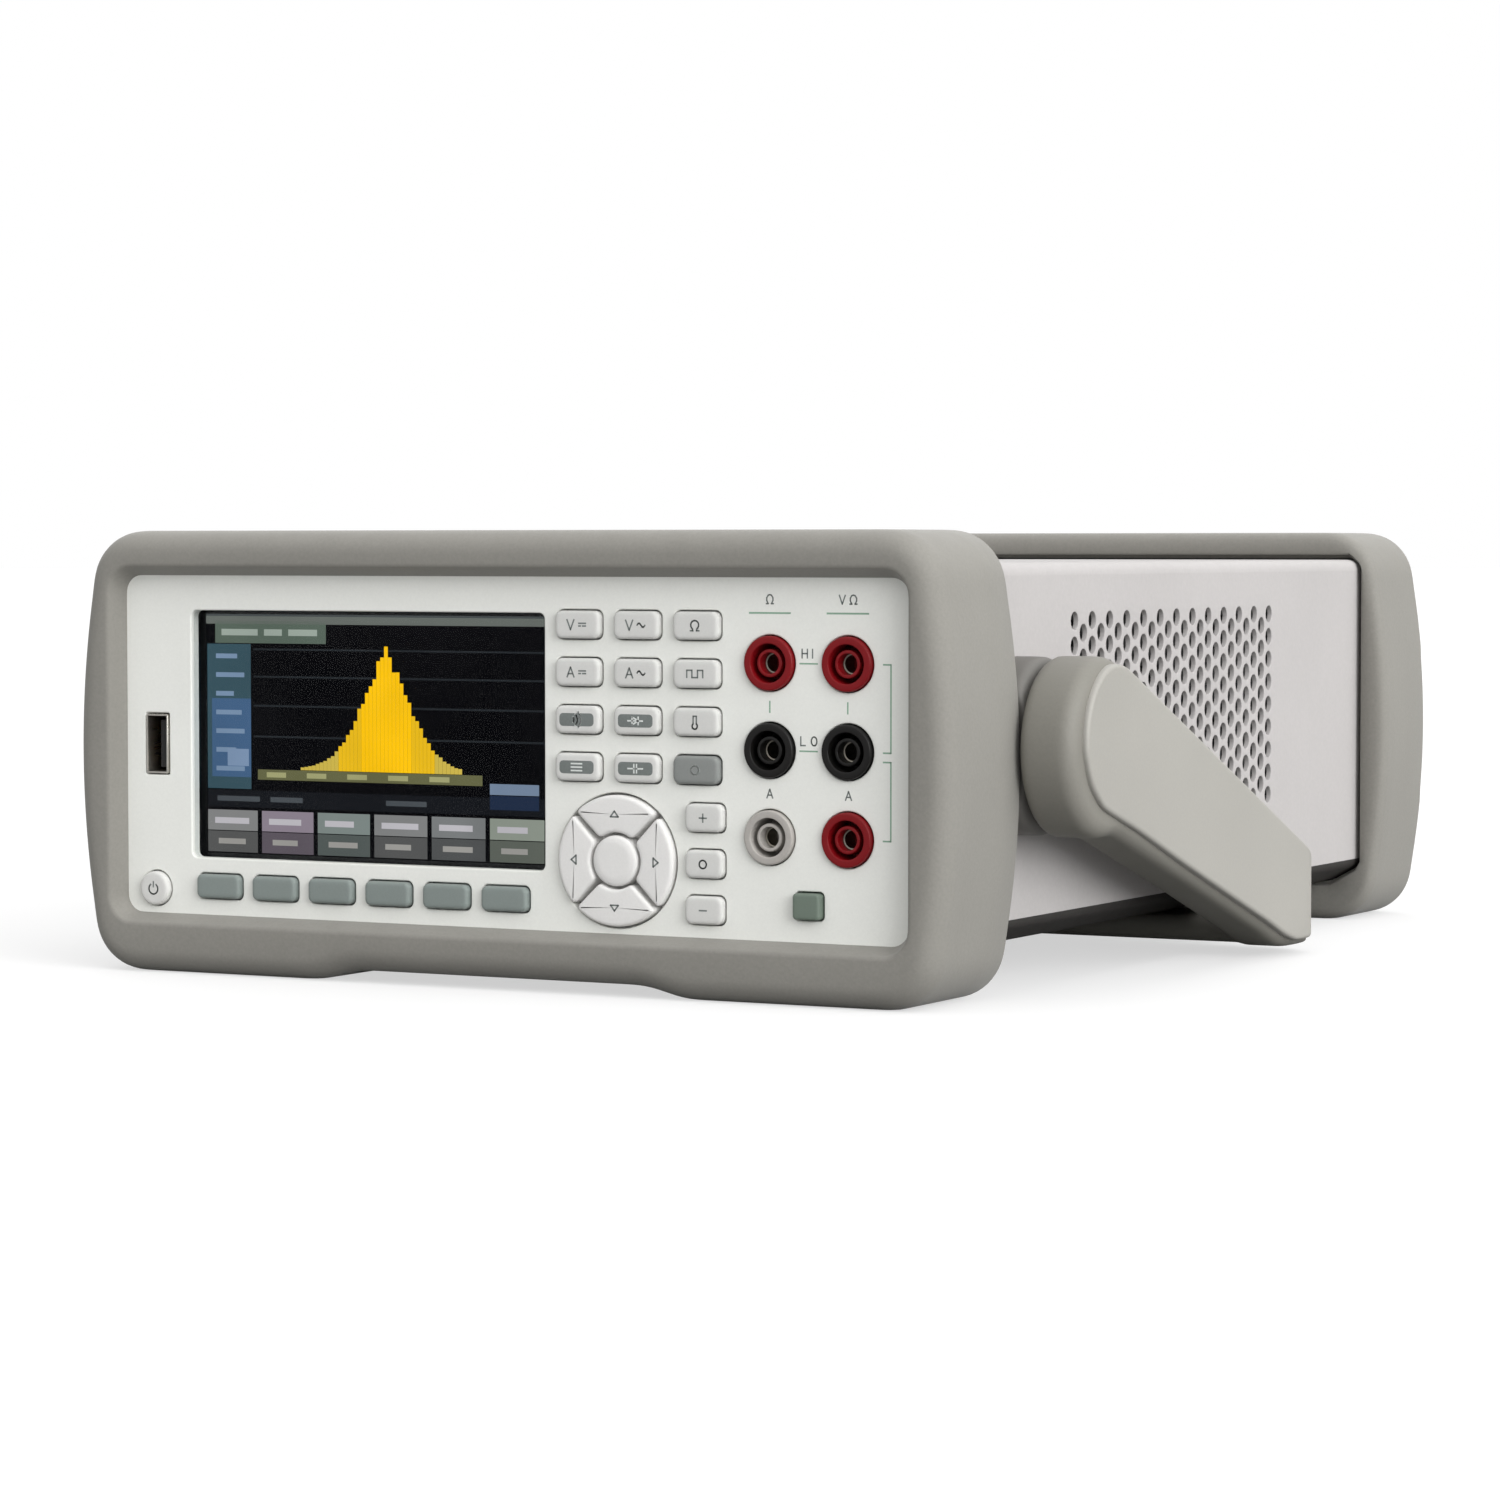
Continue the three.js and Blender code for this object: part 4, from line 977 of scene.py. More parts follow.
def arrow_key(direction, degrees):
    """A quarter of the ring round the select key."""
    name = f"arrow_{direction}_key"
    points = [polar(NAV_X, NAV_Z, NAV_R, degrees - 43 + 86 * k / 14) for k in range(15)]
    points += [polar(NAV_X, NAV_Z, 6.4, degrees + 38.8 - 77.6 * k / 8) for k in range(9)]
    points = relax(resample(ccw(points), 0.55), 3)
    piece = Build()
    profile = cap_profile(CAP, inset=0.95, edge=0.8, rise=0.75, flange=0.7)
    rings = piece.stack(lambda grow: inward(points, -grow), profile, caps=False)
    x, z = polar(NAV_X, NAV_Z, NAV_MID_R, degrees)
    for ring in (rings[0], rings[-1]):
        piece.fan(ring, (x, piece.points[ring[0]][1], z))
    piece.obj(name + "_cap", "nav_rubber", "key_plastic", name, body=name + "_body", sharp=45)
    legend(name + "_sign", name, direction, x, z, scale=0.9, width=0.36)


for i, x in enumerate(SOFT_X):
    outline = rounded_rect(x, SOFT_Z, *SOFT_SIZE, 1.4)
    cap(f"softkey_cap_{i + 1}", f"softkey_{i + 1}", outline, "softkey_rubber", "softkey_plastic")
KEY_SIGNS = (
    ("dcv", "acv", "ohm"), ("dca", "aca", "square"), ("buzz", "diode", "therm"),
    ("menu", "cap", "dot"),
)
for row, row_signs in enumerate(KEY_SIGNS):
    for column, sign in enumerate(row_signs):
        main_key(row, column, sign)
for step, sign, z in zip(("up", "auto", "down"), ("plus", "dot", "minus"), RANGE_Z):
    name = f"range_{step}_key"
    cap(name + "_cap", name, rounded_rect(RANGE_X, z, *RANGE_SIZE, 1.7), "key_rubber")
    legend(name + "_sign", name, sign, RANGE_X, z, scale=0.9)
cap("front_rear_cap", "front_rear_button", rounded_rect(*SWITCH, *SWITCH_SIZE, 0.9),
    "switch_cap", "softkey_plastic", face=3.0, edge=0.7)
cap("power_cap", "power_button", circle(*POWER, POWER_R, 40), "key_rubber", edge=0.8)
legend("power_sign", "power_button", "standby", *POWER, scale=1.05, width=0.36)
for direction, degrees in (("right", 0), ("up", 90), ("left", 180), ("down", 270)):
    arrow_key(direction, degrees)
turned(
    "select_cap", "nav_rubber", "key_plastic",
    fillet([(0, 3.25), (4.2, 3.2, 1.0), (5.7, 3.6, 0.9), (5.7, 15.0), (0, 15.0)], 5),
    NAV_X, NAV_Z, 56, body="select_key_body", replaces="select_key", sharp=45,
)


# ------------------------------------------------------------------ front sockets
def socket(name, x, z, colour):
    """A shell with a flange, a hollow post inside it and a metal contact tube."""
    material, slot = "socket_" + colour, "jack_" + colour
    shell = fillet([
        (4.3, 12.0), (4.3, 3.95, 0.25), (6.0, 3.95, 0.45), (6.0, 8.4), (5.2, 8.4), (5.2, 24.0),
        (0, 24.0),
    ])
    turned(name + "_body", material, slot, [(0, 12.0)] + shell, x, z, 56, replaces=name)
    post = fillet([(2.35, 12.0), (2.35, 4.75, 0.12), (3.1, 4.75, 0.3), (3.1, 12.0)], 3, closed=True)
    turned(name + "_post", material, slot, post, x, z, 40, closed=True)
    tube = fillet([(1.9, 11.9), (1.9, 7.4, 0.15), (2.3, 7.3, 0.1), (2.3, 11.9)], 2, closed=True)
    turned(name + "_contact", "contact_tube", "connector_metal", tube, x, z, 40, closed=True)


JACKS = (  # rows from the top, each left then right: name, colour
    (("jack_sense_hi", "red"), ("jack_input_hi", "red")),
    (("jack_sense_lo", "black"), ("jack_input_lo", "black")),
    (("jack_current_10a", "grey"), ("jack_current_3a", "red")),
)
for row, z in zip(JACKS, JACK_Z):
    for (name, colour), x in zip(row, JACK_X):
        socket(name, x, z, colour)


# ------------------------------------------------------------------ front USB port
def front_usb():
    shell = rounded_rect(USB_X, USB_Z, USB_W, USB_H, 0.5, 3)
    piece = Build()
    stations = ((0, 17.8), (0, 5.0), (-0.12, 4.8), (-0.42, 4.8), (-0.5, 5.0), (-0.5, 15.6))
    piece.stack(shell, stations, caps=False)
    for grow, y in ((-0.5, 15.6), (0, 17.8)):
        ring = piece.ring([(x, y, z) for x, z in shell(grow)])
        piece.fan(ring, (USB_X, y, USB_Z))
    piece.obj("usb_shell", "nickel_plate", "connector_metal", "front_usb_port", sharp=40)
    boxes("usb_floor", "socket_void", "black_plastic",
          [(USB_X - 2.5, USB_X + 2.5, 15.3, 15.5, USB_Z - 6.3, USB_Z + 6.3)])
    boxes("usb_tongue", "black_plastic", "black_plastic",
          [(USB_X + 0.1, USB_X + 2.0, 6.2, 15.3, USB_Z - 5.6, USB_Z + 5.6)], bevel=0.2)
    contacts = [USB_Z - 3.6 + 2.4 * k for k in range(4)]
    boxes("usb_contacts", "gold_plate", "connector_metal",
          [(USB_X - 0.02, USB_X + 0.1, 7.0, 15.0, z - 0.5, z + 0.5) for z in contacts])


front_usb()

# ------------------------------------------------------------------ printed panel marks
MARK_Y = FACE - 0.015
LETTERS = {  # strokes of (x, z); W is drawn as an omega
    "H": [[(-0.8, -1.2), (-0.8, 1.2)], [(0.8, -1.2), (0.8, 1.2)], [(-0.8, 0), (0.8, 0)]],
    "I": [[(0, -1.2), (0, 1.2)]],
    "L": [[(-0.7, 1.2), (-0.7, -1.2), (0.7, -1.2)]],
    "O": [[(0.85 * math.cos(math.pi * k / 8), 1.2 * math.sin(math.pi * k / 8))
           for k in range(17)]],
    "V": [[(-0.9, 1.2), (0, -1.2), (0.9, 1.2)]],
    "A": [[(-0.9, -1.2), (0, 1.2), (0.9, -1.2)], [(-0.5, -0.4), (0.5, -0.4)]],
    "W": [[(-1.1, -1.2), (-0.45, -1.2), (-0.62, -1.0), (-0.95, -0.3), (-0.95, 0.4), (-0.5, 1.1),
           (0, 1.25), (0.5, 1.1), (0.95, 0.4), (0.95, -0.3), (0.62, -1.0), (0.45, -1.2),
           (1.1, -1.2)]],
}


def terminal_marks():
    left, right = JACK_X
    words = (  # text, centre x, centre z, letter pitch
        ("HI", JACK_MID_X, JACK_Z[0] + 2.2, 1.9), ("LO", JACK_MID_X, JACK_Z[1] + 2.2, 2.7),
        ("VW", right, 88.6, 2.7), ("W", left, 88.6, 2.7),
        ("A", right + 0.2, JACK_Z[2] + 9.6, 2.7), ("A", left, JACK_Z[2] + 9.6, 2.7),
    )
    piece = Build()
    for text, cx, cz, pitch in words:
        for i, letter in enumerate(text):
            x = cx + (i - (len(text) - 1) / 2) * pitch
            for stroke in LETTERS[letter]:
                ribbon(piece, [(x + 0.8 * u, cz + 0.8 * v) for u, v in stroke], 0.32, MARK_Y)
    piece.obj("terminal_marks", "legend_ink", "bezel_plastic", sharp=60)


def panel_marks():
    """Short lines between the sockets, brackets to their right and bars above them."""
    left, right = JACK_X
    top, middle, bottom = JACK_Z
    between = (top + middle) / 2
    near, far = right + 8.6, right + 10.4
    piece = Build()
    lines = [[(left + 7.4, z), (right - 7.4, z)] for z in (top, middle)]
    lines += [[(x, between - 1.2), (x, between + 1.2)] for x in JACK_X]
    lines += [
        [(near, high), (far, high), (far, low), (near, low)]
        for high, low in ((top, middle), (middle - 2, bottom))
    ]
    for line in lines:
        ribbon(piece, line, 0.35, MARK_Y)
    for x in JACK_X:
        ribbon(piece, [(x - 5, 85.6), (x + 5, 85.6)], 0.4, MARK_Y)
    piece.obj("panel_marks", "panel_ink", "bezel_plastic", sharp=60)


terminal_marks()
panel_marks()

# ------------------------------------------------------------------ handle
HANDLE_HALF = 130.55  # outer face of the covers
CORE_HALF = 129.2  # outer face of the arms
HANDLE_BACK = 186
CORNER_R = 15  # where the arms turn into the grip
CORNER_X, CORNER_Y = HANDLE_HALF - CORNER_R, HANDLE_BACK - CORNER_R


def bake(item):
    """Applies the object's modifiers to its mesh."""
    graph = bpy.context.evaluated_depsgraph_get()
    mesh = bpy.data.meshes.new_from_object(item.evaluated_get(graph))
    item.modifiers.clear()
    old, item.data = item.data, mesh
    bpy.data.meshes.remove(old)


def bail_mesh():
    """Both arms, the grip across the back and a gusset in each corner; outlines are (y, z)."""
    arm = [polar(PIVOT_Y, PIVOT_Z, 20.4, d) for d in np.arange(62, 293, 8)]
    arm += [
        (72, 31.6), (110, 19.6), (150, 6.6), (157, 3.7), (164, 2.2), (180, 2.0), (184.5, 3.7),
        (186, 8.4), (186, 16), (184, 21.5), (178, 26.6),
    ]
    arm = relax(resample(ccw(arm), 1.5), 6)
    section = fillet(  # (inset, x)
        [(5, 116), (0, 116, 1.8), (0, 127.0, 1.3), (2.2, CORE_HALF, 1.0), (9, CORE_HALF)], 5
    )
    piece = Build()
    for sx in (1, -1):
        rings = [[(sx * x, y, z) for y, z in inward(arm, inset)] for inset, x in section]
        placed = piece.loft(rings, caps=False)
        for ring in (placed[0], placed[-1]):
            x = piece.points[ring[0]][0]
            points, tri = triangulate([[piece.points[i][1:] for i in ring]])
            piece.sheet([(x, u, v) for u, v in points], tri)
    grip = [(160, 3.0, 3.1), (186, 3.0, 3.1), (186, 9.4, 3.1), (160, 9.4, 3.1)]
    grip = resample(fillet(grip, 6, closed=True), 1.2)
    piece.loft([[(x, y, z) for y, z in grip] for x in np.linspace(-121, 121, 41)])
    gusset = [
        (163, 5, 2), (166, 2.7, 3), (183, 2.5, 3), (186, 6, 3), (186, 15, 3), (181, 20, 4),
        (171, 15.5, 4),
    ]
    gusset = resample(fillet(gusset, 5, closed=True), 1.2)
    for sx in (1, -1):
        piece.loft([[(sx * x, y, z) for y, z in gusset] for x in np.linspace(107.7, 123, 7)])
    return piece


def round_corners(mesh):
    """Pulls what sticks out of the two back corners onto an elliptical bend."""
    flat = np.zeros(len(mesh.vertices) * 3)
    mesh.vertices.foreach_get("co", flat)
    co = flat.reshape(-1, 3)
    x = np.abs(co[:, 0]) / MM - CORNER_X
    y = (co[:, 1] - Y_SHIFT) / MM - CORNER_Y
    reach = np.hypot(x / (CORE_HALF - CORNER_X), y / CORNER_R)
    outside = (x > 0) & (y > 0) & (reach > 1)
    pull = np.where(outside, 1 / np.maximum(reach, 1e-9), 1)
    bent_x = np.sign(co[:, 0]) * (CORNER_X + x * pull) * MM
    co[:, 0] = np.where(outside, bent_x, co[:, 0])
    co[:, 1] = np.where(outside, (CORNER_Y + y * pull) * MM + Y_SHIFT, co[:, 1])
    mesh.vertices.foreach_set("co", co.reshape(-1))
    mesh.update()


def handle_bail():
    """The parts fused into one skin, softened and bored for the hubs."""
    # The bail takes the darker copy of the handle plastic, painted shade on the flanks of the arms.
    bail = bail_mesh().obj(
        "handle_bail", "handle_core_painted_shade", "handle_plastic", "handle", body="carry_handle",
        sharp=80, merge=0.0005,
    )
    remesh = bail.modifiers.new("remesh", "REMESH")
    remesh.mode, remesh.voxel_size, remesh.use_smooth_shade = "VOXEL", 0.85 * MM, True
    bake(bail)
    round_corners(bail.data)
    soften = bail.modifiers.new("soften", "SMOOTH")
    soften.factor, soften.iterations = 0.5, 3
    bake(bail)
    bore = Build()
    bore_circle = circle(PIVOT_Y, PIVOT_Z, 8.4, 48)()
    for sx in (1, -1):
        bore.loft([[(sx * x, y, z) for y, z in bore_circle] for x in (112, 125.4)])
    cutter = bore.obj("pin_bore_tool", "handle_plastic")
    cut = bail.modifiers.new("bore", "BOOLEAN")
    cut.operation, cut.solver, cut.object = "DIFFERENCE", "EXACT", cutter
    bake(bail)
    bpy.data.objects.remove(cutter)
    shade_smooth(bail.data, 50)


def well_inside(point, loop):
    """Whether a point lies inside the loop, more than 0.8 mm from its points."""
    y, z = point
    following = np.roll(loop, -1, 0)
    crosses = (loop[:, 1] > z) != (following[:, 1] > z)
    rise = np.where(following[:, 1] == loop[:, 1], 1, following[:, 1] - loop[:, 1])
    at_y = loop[:, 0] + (z - loop[:, 1]) / rise * (following[:, 0] - loop[:, 0])
    inside = bool(((at_y > y) & crosses).sum() % 2)
    return inside and np.hypot(loop[:, 0] - y, loop[:, 1] - z).min() > 0.8


def handle_covers():
    """Outer covers of the arms, following the bend at the back; outline is (y, z)."""
    bend = lambda y: CORNER_R - math.sqrt(max(CORNER_R**2 - max(y - CORNER_Y, 0.0) ** 2, 0.0))
    cover = [polar(54, 57, 17.2, d) for d in np.arange(64, 197, 7)]
    cover += [
        (37.2, 54), (40.2, 47.6), (46.5, 42.4), (56, 39.4), (66, 36.4), (92.5, 27.4),
        (110.8, 21.4), (131, 14.8), (147, 9.6), (158, 5.6), (164.5, 4.0), (178, 3.9),
        (182.4, 5.6), (183.7, 9.6), (183.7, 15.6), (182, 20.0), (177, 24.6),
    ]
    cover = relax(resample(ccw(cover), 1.5), 3)
    inner_x = 126.4
    section = fillet([(0, inner_x), (0, HANDLE_HALF, 1.1), (2.2, HANDLE_HALF)], 5)
    grid = [(y, z) for y in np.arange(168, 186, 1.5) for z in np.arange(3, 40, 2.5)]
    piece = Build()
    for sx in (1, -1):
        rings = [
            [(sx * (x - bend(y)), y, z) for y, z in inward(cover, inset)] for inset, x in section
        ]
        placed = piece.loft(rings, caps=False)
        for ring, x in ((placed[-1], HANDLE_HALF), (placed[0], inner_x)):
            loop = [piece.points[i][1:] for i in ring]
            edge = np.array(loop)
            points, tri = triangulate([loop], [p for p in grid if well_inside(p, edge)])
            piece.sheet([(sx * (x - bend(u)), u, v) for u, v in points], tri)
    piece.obj("handle_covers", "handle_plastic", "handle_plastic", body="carry_handle",
              sharp=40, flat=True)


def handle_hub(name, sx):
    """A boss turned about the pivot, cut flat in front where it meets the bumper."""
    profile = fillet([  # (radius, x)
        (0, 101.0), (6, 101.0, 0.5), (6, 106.6), (20, 106.6), (20, 113.6, 1.6),
        (17.0, 115.5, 0.8), (8, 115.5), (8, 123.5), (0, 123.5),
    ])
    rings = []
    for radius, x in profile:
        front = 36.95 if x > 106.4 else -math.inf
        loop = circle(PIVOT_Y, PIVOT_Z, max(radius, 1e-4), 64)()
        rings.append([(sx * x, max(y, front), z) for y, z in loop])
    piece = Build()
    piece.loft(rings)
    piece.obj(name + "_boss", "hub_plastic", "hub_plastic", name, sharp=40)


handle_bail()
handle_covers()
handle_hub("handle_hub_right", 1)
handle_hub("handle_hub_left", -1)


# ------------------------------------------------------------------ rear panel
def rear_plate():
    holes = []
    for i in range(-6, 7):  # fan grille
        for j in range(-6, 7):
            x, z = i * 3.9 + (1.95 if j % 2 else 0), j * 3.4
            if math.hypot(x, z) < 20.6:
                holes.append(circle(FAN[0] + x, FAN[1] + z, 1.45, 12))
    holes += [
        rounded_rect(INLET_X, INLET_Z, 26.8, 42.8, 0.5, 2),
        rounded_rect(BLOCK_X, BLOCK_Z, 32.8, 54.8, 0.5, 2),
        rounded_rect(0, 27.25, 17.2, 14.1, 0.3, 2),
        rounded_rect(-30, 26.8, 13.2, 12.2, 0.3, 2),
    ]
    holes += [circle(x, z, 5.3) for x, z in COAX.values()]
    holes.append(circle(FUSE_X, FUSE_Z, 6.2))
    piece = Build()
    piece.plate(lambda grow: case_outline(1.6 - grow), holes, PANEL_BACK, PANEL)
    piece.obj("rear_plate", "zinc_sheet", "bare_sheet", "rear_panel", sharp=30, flat=True)


def screw(piece, x, z, radius=2.6):
    """A pan-head screw with a cross recess, on the back of the panel."""
    angles = [2 * math.pi * k / 40 for k in range(40)]

    def ring(reach, height):
        y = PANEL_BACK + height
        return [(x + reach(a) * math.cos(a), y, z + reach(a) * math.sin(a)) for a in angles]

    def cross(a):
        c, s = abs(math.cos(a)), abs(math.sin(a))
        return min(0.16 * radius / max(min(c, s), 1e-6), 0.55 * radius / max(c, s))

    head = ((1, 0), (1, 0.5), (0.93, 0.95), (0.75, 1.3), (0.55, 1.42))  # (share, height)
    rings = [ring(lambda a: radius * share, height) for share, height in head]
    rings += [ring(cross, 1.42), ring(lambda a: cross(a) * 0.85, 0.5)]
    piece.loft(rings)


def rear_screws():
    piece = Build()
    for sx in (-1, 1):
        for sz in (-1, 1):
            screw(piece, FAN[0] + sx * 22.96, FAN[1] + sz * 22.96)
    for x, z in ((-92.15, 86), (92.15, 88), (-50.44, 17), (53.35, 17.5), (23.28, 88)):
        screw(piece, x, z)
    piece.obj("rear_screws", "dark_screw", "bare_sheet", sharp=35)


def cup(piece, outline, depth):
    """A closed thin-walled cup behind a hole, its mouth inside the plate's thickness."""
    mouth, wall = 286.2, 0.8
    piece.stack(outline, ((0.02, depth), (0.02, mouth), (wall, mouth), (wall, depth - wall)))


def mains_inlet():
    def mouth(grow=0.0):
        half = fillet_half = [
            (12 + grow, -18 - grow, 1.5),
            (12 + grow, -6 + grow * 0.5, 1.2),
            (8 + grow * 0.5, -1.6 + grow, 1.2),
        ]
        left = [(INLET_X - x, INLET_Z + z, size) for x, z, size in half[:1]]
        right = [(INLET_X + x, INLET_Z + z, size) for x, z, size in half]
        back = [(INLET_X - x, INLET_Z + z, size) for x, z, size in fillet_half[:0:-1]]
        return ccw(fillet(left + right + back, 4, closed=True))

    recess_z = INLET_Z + 11
    recess = rounded_rect(INLET_X, recess_z, 22, 16, 1, 4)
    flange = Build()
    outline = rounded_rect(INLET_X, INLET_Z, 31, 48, 3)
    flange.plate(outline, [mouth, recess], 287.8, 285.6)
    cup(flange, mouth, 271.0)
    cup(flange, recess, 285.7)
    flange.obj("inlet_flange", "black_plastic", "black_plastic", "power_inlet", sharp=35)
    boxes("inlet_body", "black_plastic", "black_plastic",
          [(INLET_X - 13, INLET_X + 13, 262, 270.1, INLET_Z - 21, INLET_Z + 21)], bevel=0.5)
    blades = [(INLET_X + x, INLET_Z + z) for x, z in ((-7, -12), (7, -12), (0, -7.2))]
    boxes("inlet_blades", "nickel_plate", "connector_metal",
          [(x - 1, x + 1, 270.5, 284, z - 2, z + 2) for x, z in blades], bevel=0.4)
    drawer = Build()
    outline = rounded_rect(INLET_X, recess_z, 20.4, 14.4, 0.8, 4)
    drawer.stack(outline, ((0, 286.1), (0, 287.4), (-0.4, 287.8)))
    drawer.box(INLET_X - 5, INLET_X + 5, 287.7, 288.5, INLET_Z + 16.2, INLET_Z + 17.4)
    drawer.obj("inlet_drawer", "black_plastic", "black_plastic", sharp=35)


def rear_inputs():
    left, right = BLOCK_X - JACK_PITCH / 2, BLOCK_X + JACK_PITCH / 2
    top, middle, bottom = JACK_Z
    sockets = (
        (left, top, "red"), (right, top, "red"), (left, middle, "black"),
        (right, middle, "black"), (left, bottom, "red"),
    )
    holes = [circle(x, z, 6.3, 40) for x, z, _ in sockets]
    face = Build()
    face.plate(rounded_rect(BLOCK_X, BLOCK_Z, 36, 60, 3), holes, 287.8, 285.6)
    for hole in holes:
        cup(face, hole, 280.0)
    face.obj("rear_block_face", "black_plastic", "black_plastic", "rear_terminal_block", sharp=35)
    shell = fillet([
        (0, 280.5), (4.3, 280.5), (4.3, 288.6, 0.25), (6.0, 288.6, 0.45), (6.0, 280.2), (0, 280.2)
    ])
    post = [(2.35, 280.6), (2.35, 287.6, 0.12), (3.1, 287.6, 0.3), (3.1, 280.6)]
    tube = [(2.0, 280.7), (2.0, 287.0, 0.15), (2.3, 287.1, 0.1), (2.3, 280.7)]
    post, tube = fillet(post, 3, closed=True), fillet(tube, 2, closed=True)
    for i, (x, z, colour) in enumerate(sockets, 1):
        material, slot = "socket_" + colour, "jack_" + colour
        turned(f"rear_socket_{i}", material, slot, shell, x, z, 48)
        turned(f"rear_post_{i}", material, slot, post, x, z, 36, closed=True)
        turned(f"rear_contact_{i}", "nickel_plate", "connector_metal", tube, x, z, 36, closed=True)


def coax_socket(name, x, z):
    shell = Build()
    profile = [
        (0, 288.0), (3.9, 288.0), (3.9, 296.6, 0.2), (4.8, 297.2, 0.3), (4.8, 295.4, 0.2),
        (4.45, 295.0, 0.2), (4.45, 289.6, 0.2), (4.8, 289.2), (4.8, 287.6), (7.4, 287.6, 0.4),
        (7.4, 285.6, 0.3), (4.9, 285.6), (4.9, 276), (0, 276),
    ]
    shell.lathe(fillet(profile, 3), x, z, 48)
    for lug_z in (z + 5.2, z - 5.2):
        shell.box(x - 0.8, x + 0.8, 292.4, 294.0, lug_z - 0.7, lug_z + 0.7)
    shell.obj(name + "_shell", "nickel_plate", "connector_metal", name, sharp=35)
    core = [(0, 288.0), (3.2, 288.0), (3.2, 293.6, 0.2), (1.0, 293.6), (1.0, 291.0), (0, 291.0)]
    turned(name + "_dielectric", "tongue_plastic", "connector_metal", fillet(core, 3),
           x, z, 32, sharp=35)
    pin = [(0.45, 291.0), (0.45, 293.9, 0.1), (0.85, 293.9, 0.1), (0.85, 291.0)]
    turned(name + "_pin", "gold_plate", "connector_metal", fillet(pin, 2, closed=True),
           x, z, 20, closed=True, sharp=35)


def lan_port():
    shell = Build()
    hole = rounded_rect(0, 27.5, 12, 8.2, 0.3, 2)
    shell.plate(rounded_rect(0, 27.25, 16.4, 13.3, 0.4, 3), [hole], 286.8, 267.0)
    shell.obj("lan_shell", "nickel_plate", "connector_metal", "lan_port", sharp=35)
    boxes("lan_inside", "socket_void", "black_plastic", (
        (-5.9, 5.9, 271.0, 273.0, 23.5, 31.5),
        (-5.9, -3.2, 273.0, 286.2, 23.5, 25.0),
        (3.2, 5.9, 273.0, 286.2, 23.5, 25.0),
    ))
    contacts = [-3.6 + 7.2 * k / 7 for k in range(8)]
    boxes("lan_contacts", "gold_plate", "connector_metal",
          [(x - 0.22, x + 0.22, 273.0, 283.5, 30.6, 30.9) for x in contacts])
    glow("lan_lamp_lit", rgb("3f7a3a"), strength=0.6)
    boxes("lan_lamps", "lan_lamp_lit", "connector_metal",
          [(x - 1.3, x + 1.3, 286.7, 286.95, 32.0, 33.2) for x in (-5.0, 5.0)])


def rear_usb():
    def mouth(grow=0.0):
        part = grow * 0.4
        points = [
            (-34.4 - grow, 22.6 - grow), (-25.6 + grow, 22.6 - grow), (-25.6 + grow, 29.2 + part),
            (-27.6 + part, 31.1 + grow), (-32.4 - part, 31.1 + grow), (-34.4 - grow, 29.2 + part),
        ]
        return ccw(fillet([(x, z, 0.3) for x, z in points], 2, closed=True))

    shell = Build()
    shell.plate(rounded_rect(-30, 26.8, 12.2, 11.4, 0.4, 3), [mouth], 286.8, 268.0)
    shell.obj("usb_device_shell", "nickel_plate", "connector_metal", "rear_usb_port", sharp=35)
    boxes("usb_device_block", "black_plastic", "black_plastic", (
        (-34.2, -25.8, 270.0, 271.5, 22.8, 30.9),
        (-32.8, -27.2, 271.0, 285.2, 25.0, 28.4),
    ), bevel=0.2)


def fuse_cap():
    """A ribbed cap with a slot across it."""
    angles = [2 * math.pi * k / 64 for k in range(64)]

    def ring(reach, y):
        return [
            (FUSE_X + reach(a) * math.cos(a), y, FUSE_Z + reach(a) * math.sin(a)) for a in angles
        ]

    def slot(a):
        across = 0.8 / max(abs(math.sin(a)), 1e-6)
        return min(5.0 / max(abs(math.cos(a)), 1e-6), across, 5.0)

    profile = [
        (5.6, 264), (5.6, 285.7), (7.6, 285.7, 0.3), (7.6, 292.2, 0.6), (6.6, 293.0, 0.3),
        (5.4, 293.0),
    ]
    rings = []
    for radius, y in fillet(profile, 3):
        rib = 0.18 if 286.5 < y < 291.8 else 0.0
        rings.append(ring(lambda a: radius + rib * math.cos(24 * a), y))
    rings += [ring(slot, 293.0), ring(slot, 291.4)]
    piece = Build()
    piece.loft(rings)
    piece.obj("fuse_cap_body", "black_plastic", "black_plastic", "rear_fuse_cap", sharp=35)


rear_plate()
rear_screws()
mains_inlet()
rear_inputs()
for name, (x, z) in COAX.items():
    coax_socket(name, x, z)
lan_port()
rear_usb()
fuse_cap()

earth = Build()
screw(earth, -52.0, 80.0, radius=3.4)
earth.obj("earth_screw", "nickel_plate", "bare_sheet", sharp=35)

blank = Build()
blank.stack(
    rounded_rect(-4, 84.5, 30, 6.5, 0.8, 4),
    ((0, PANEL_BACK), (0, PANEL_BACK + 0.12), (-0.1, PANEL_BACK + 0.2)),
)
blank.obj("blank_plate", "bezel_plastic", "bezel_plastic", sharp=35)

# ------------------------------------------------------------------ CAD pieces kept as they are
KEPT = {
    "chassis_tray": "dark_sheet",
    "keypad_membrane": "silicone",
    "front_board": "solder_mask",
    "main_board": "solder_mask",
    "analog_shield": "zinc_sheet",
    "power_transformer": "transformer",
    "fan_frame": "black_plastic",
    "fan_rotor": "black_plastic",
}
for node, material in KEPT.items():
    slots = NODES[node].data.materials
    slots.clear()
    slots.append(MATERIALS[material])


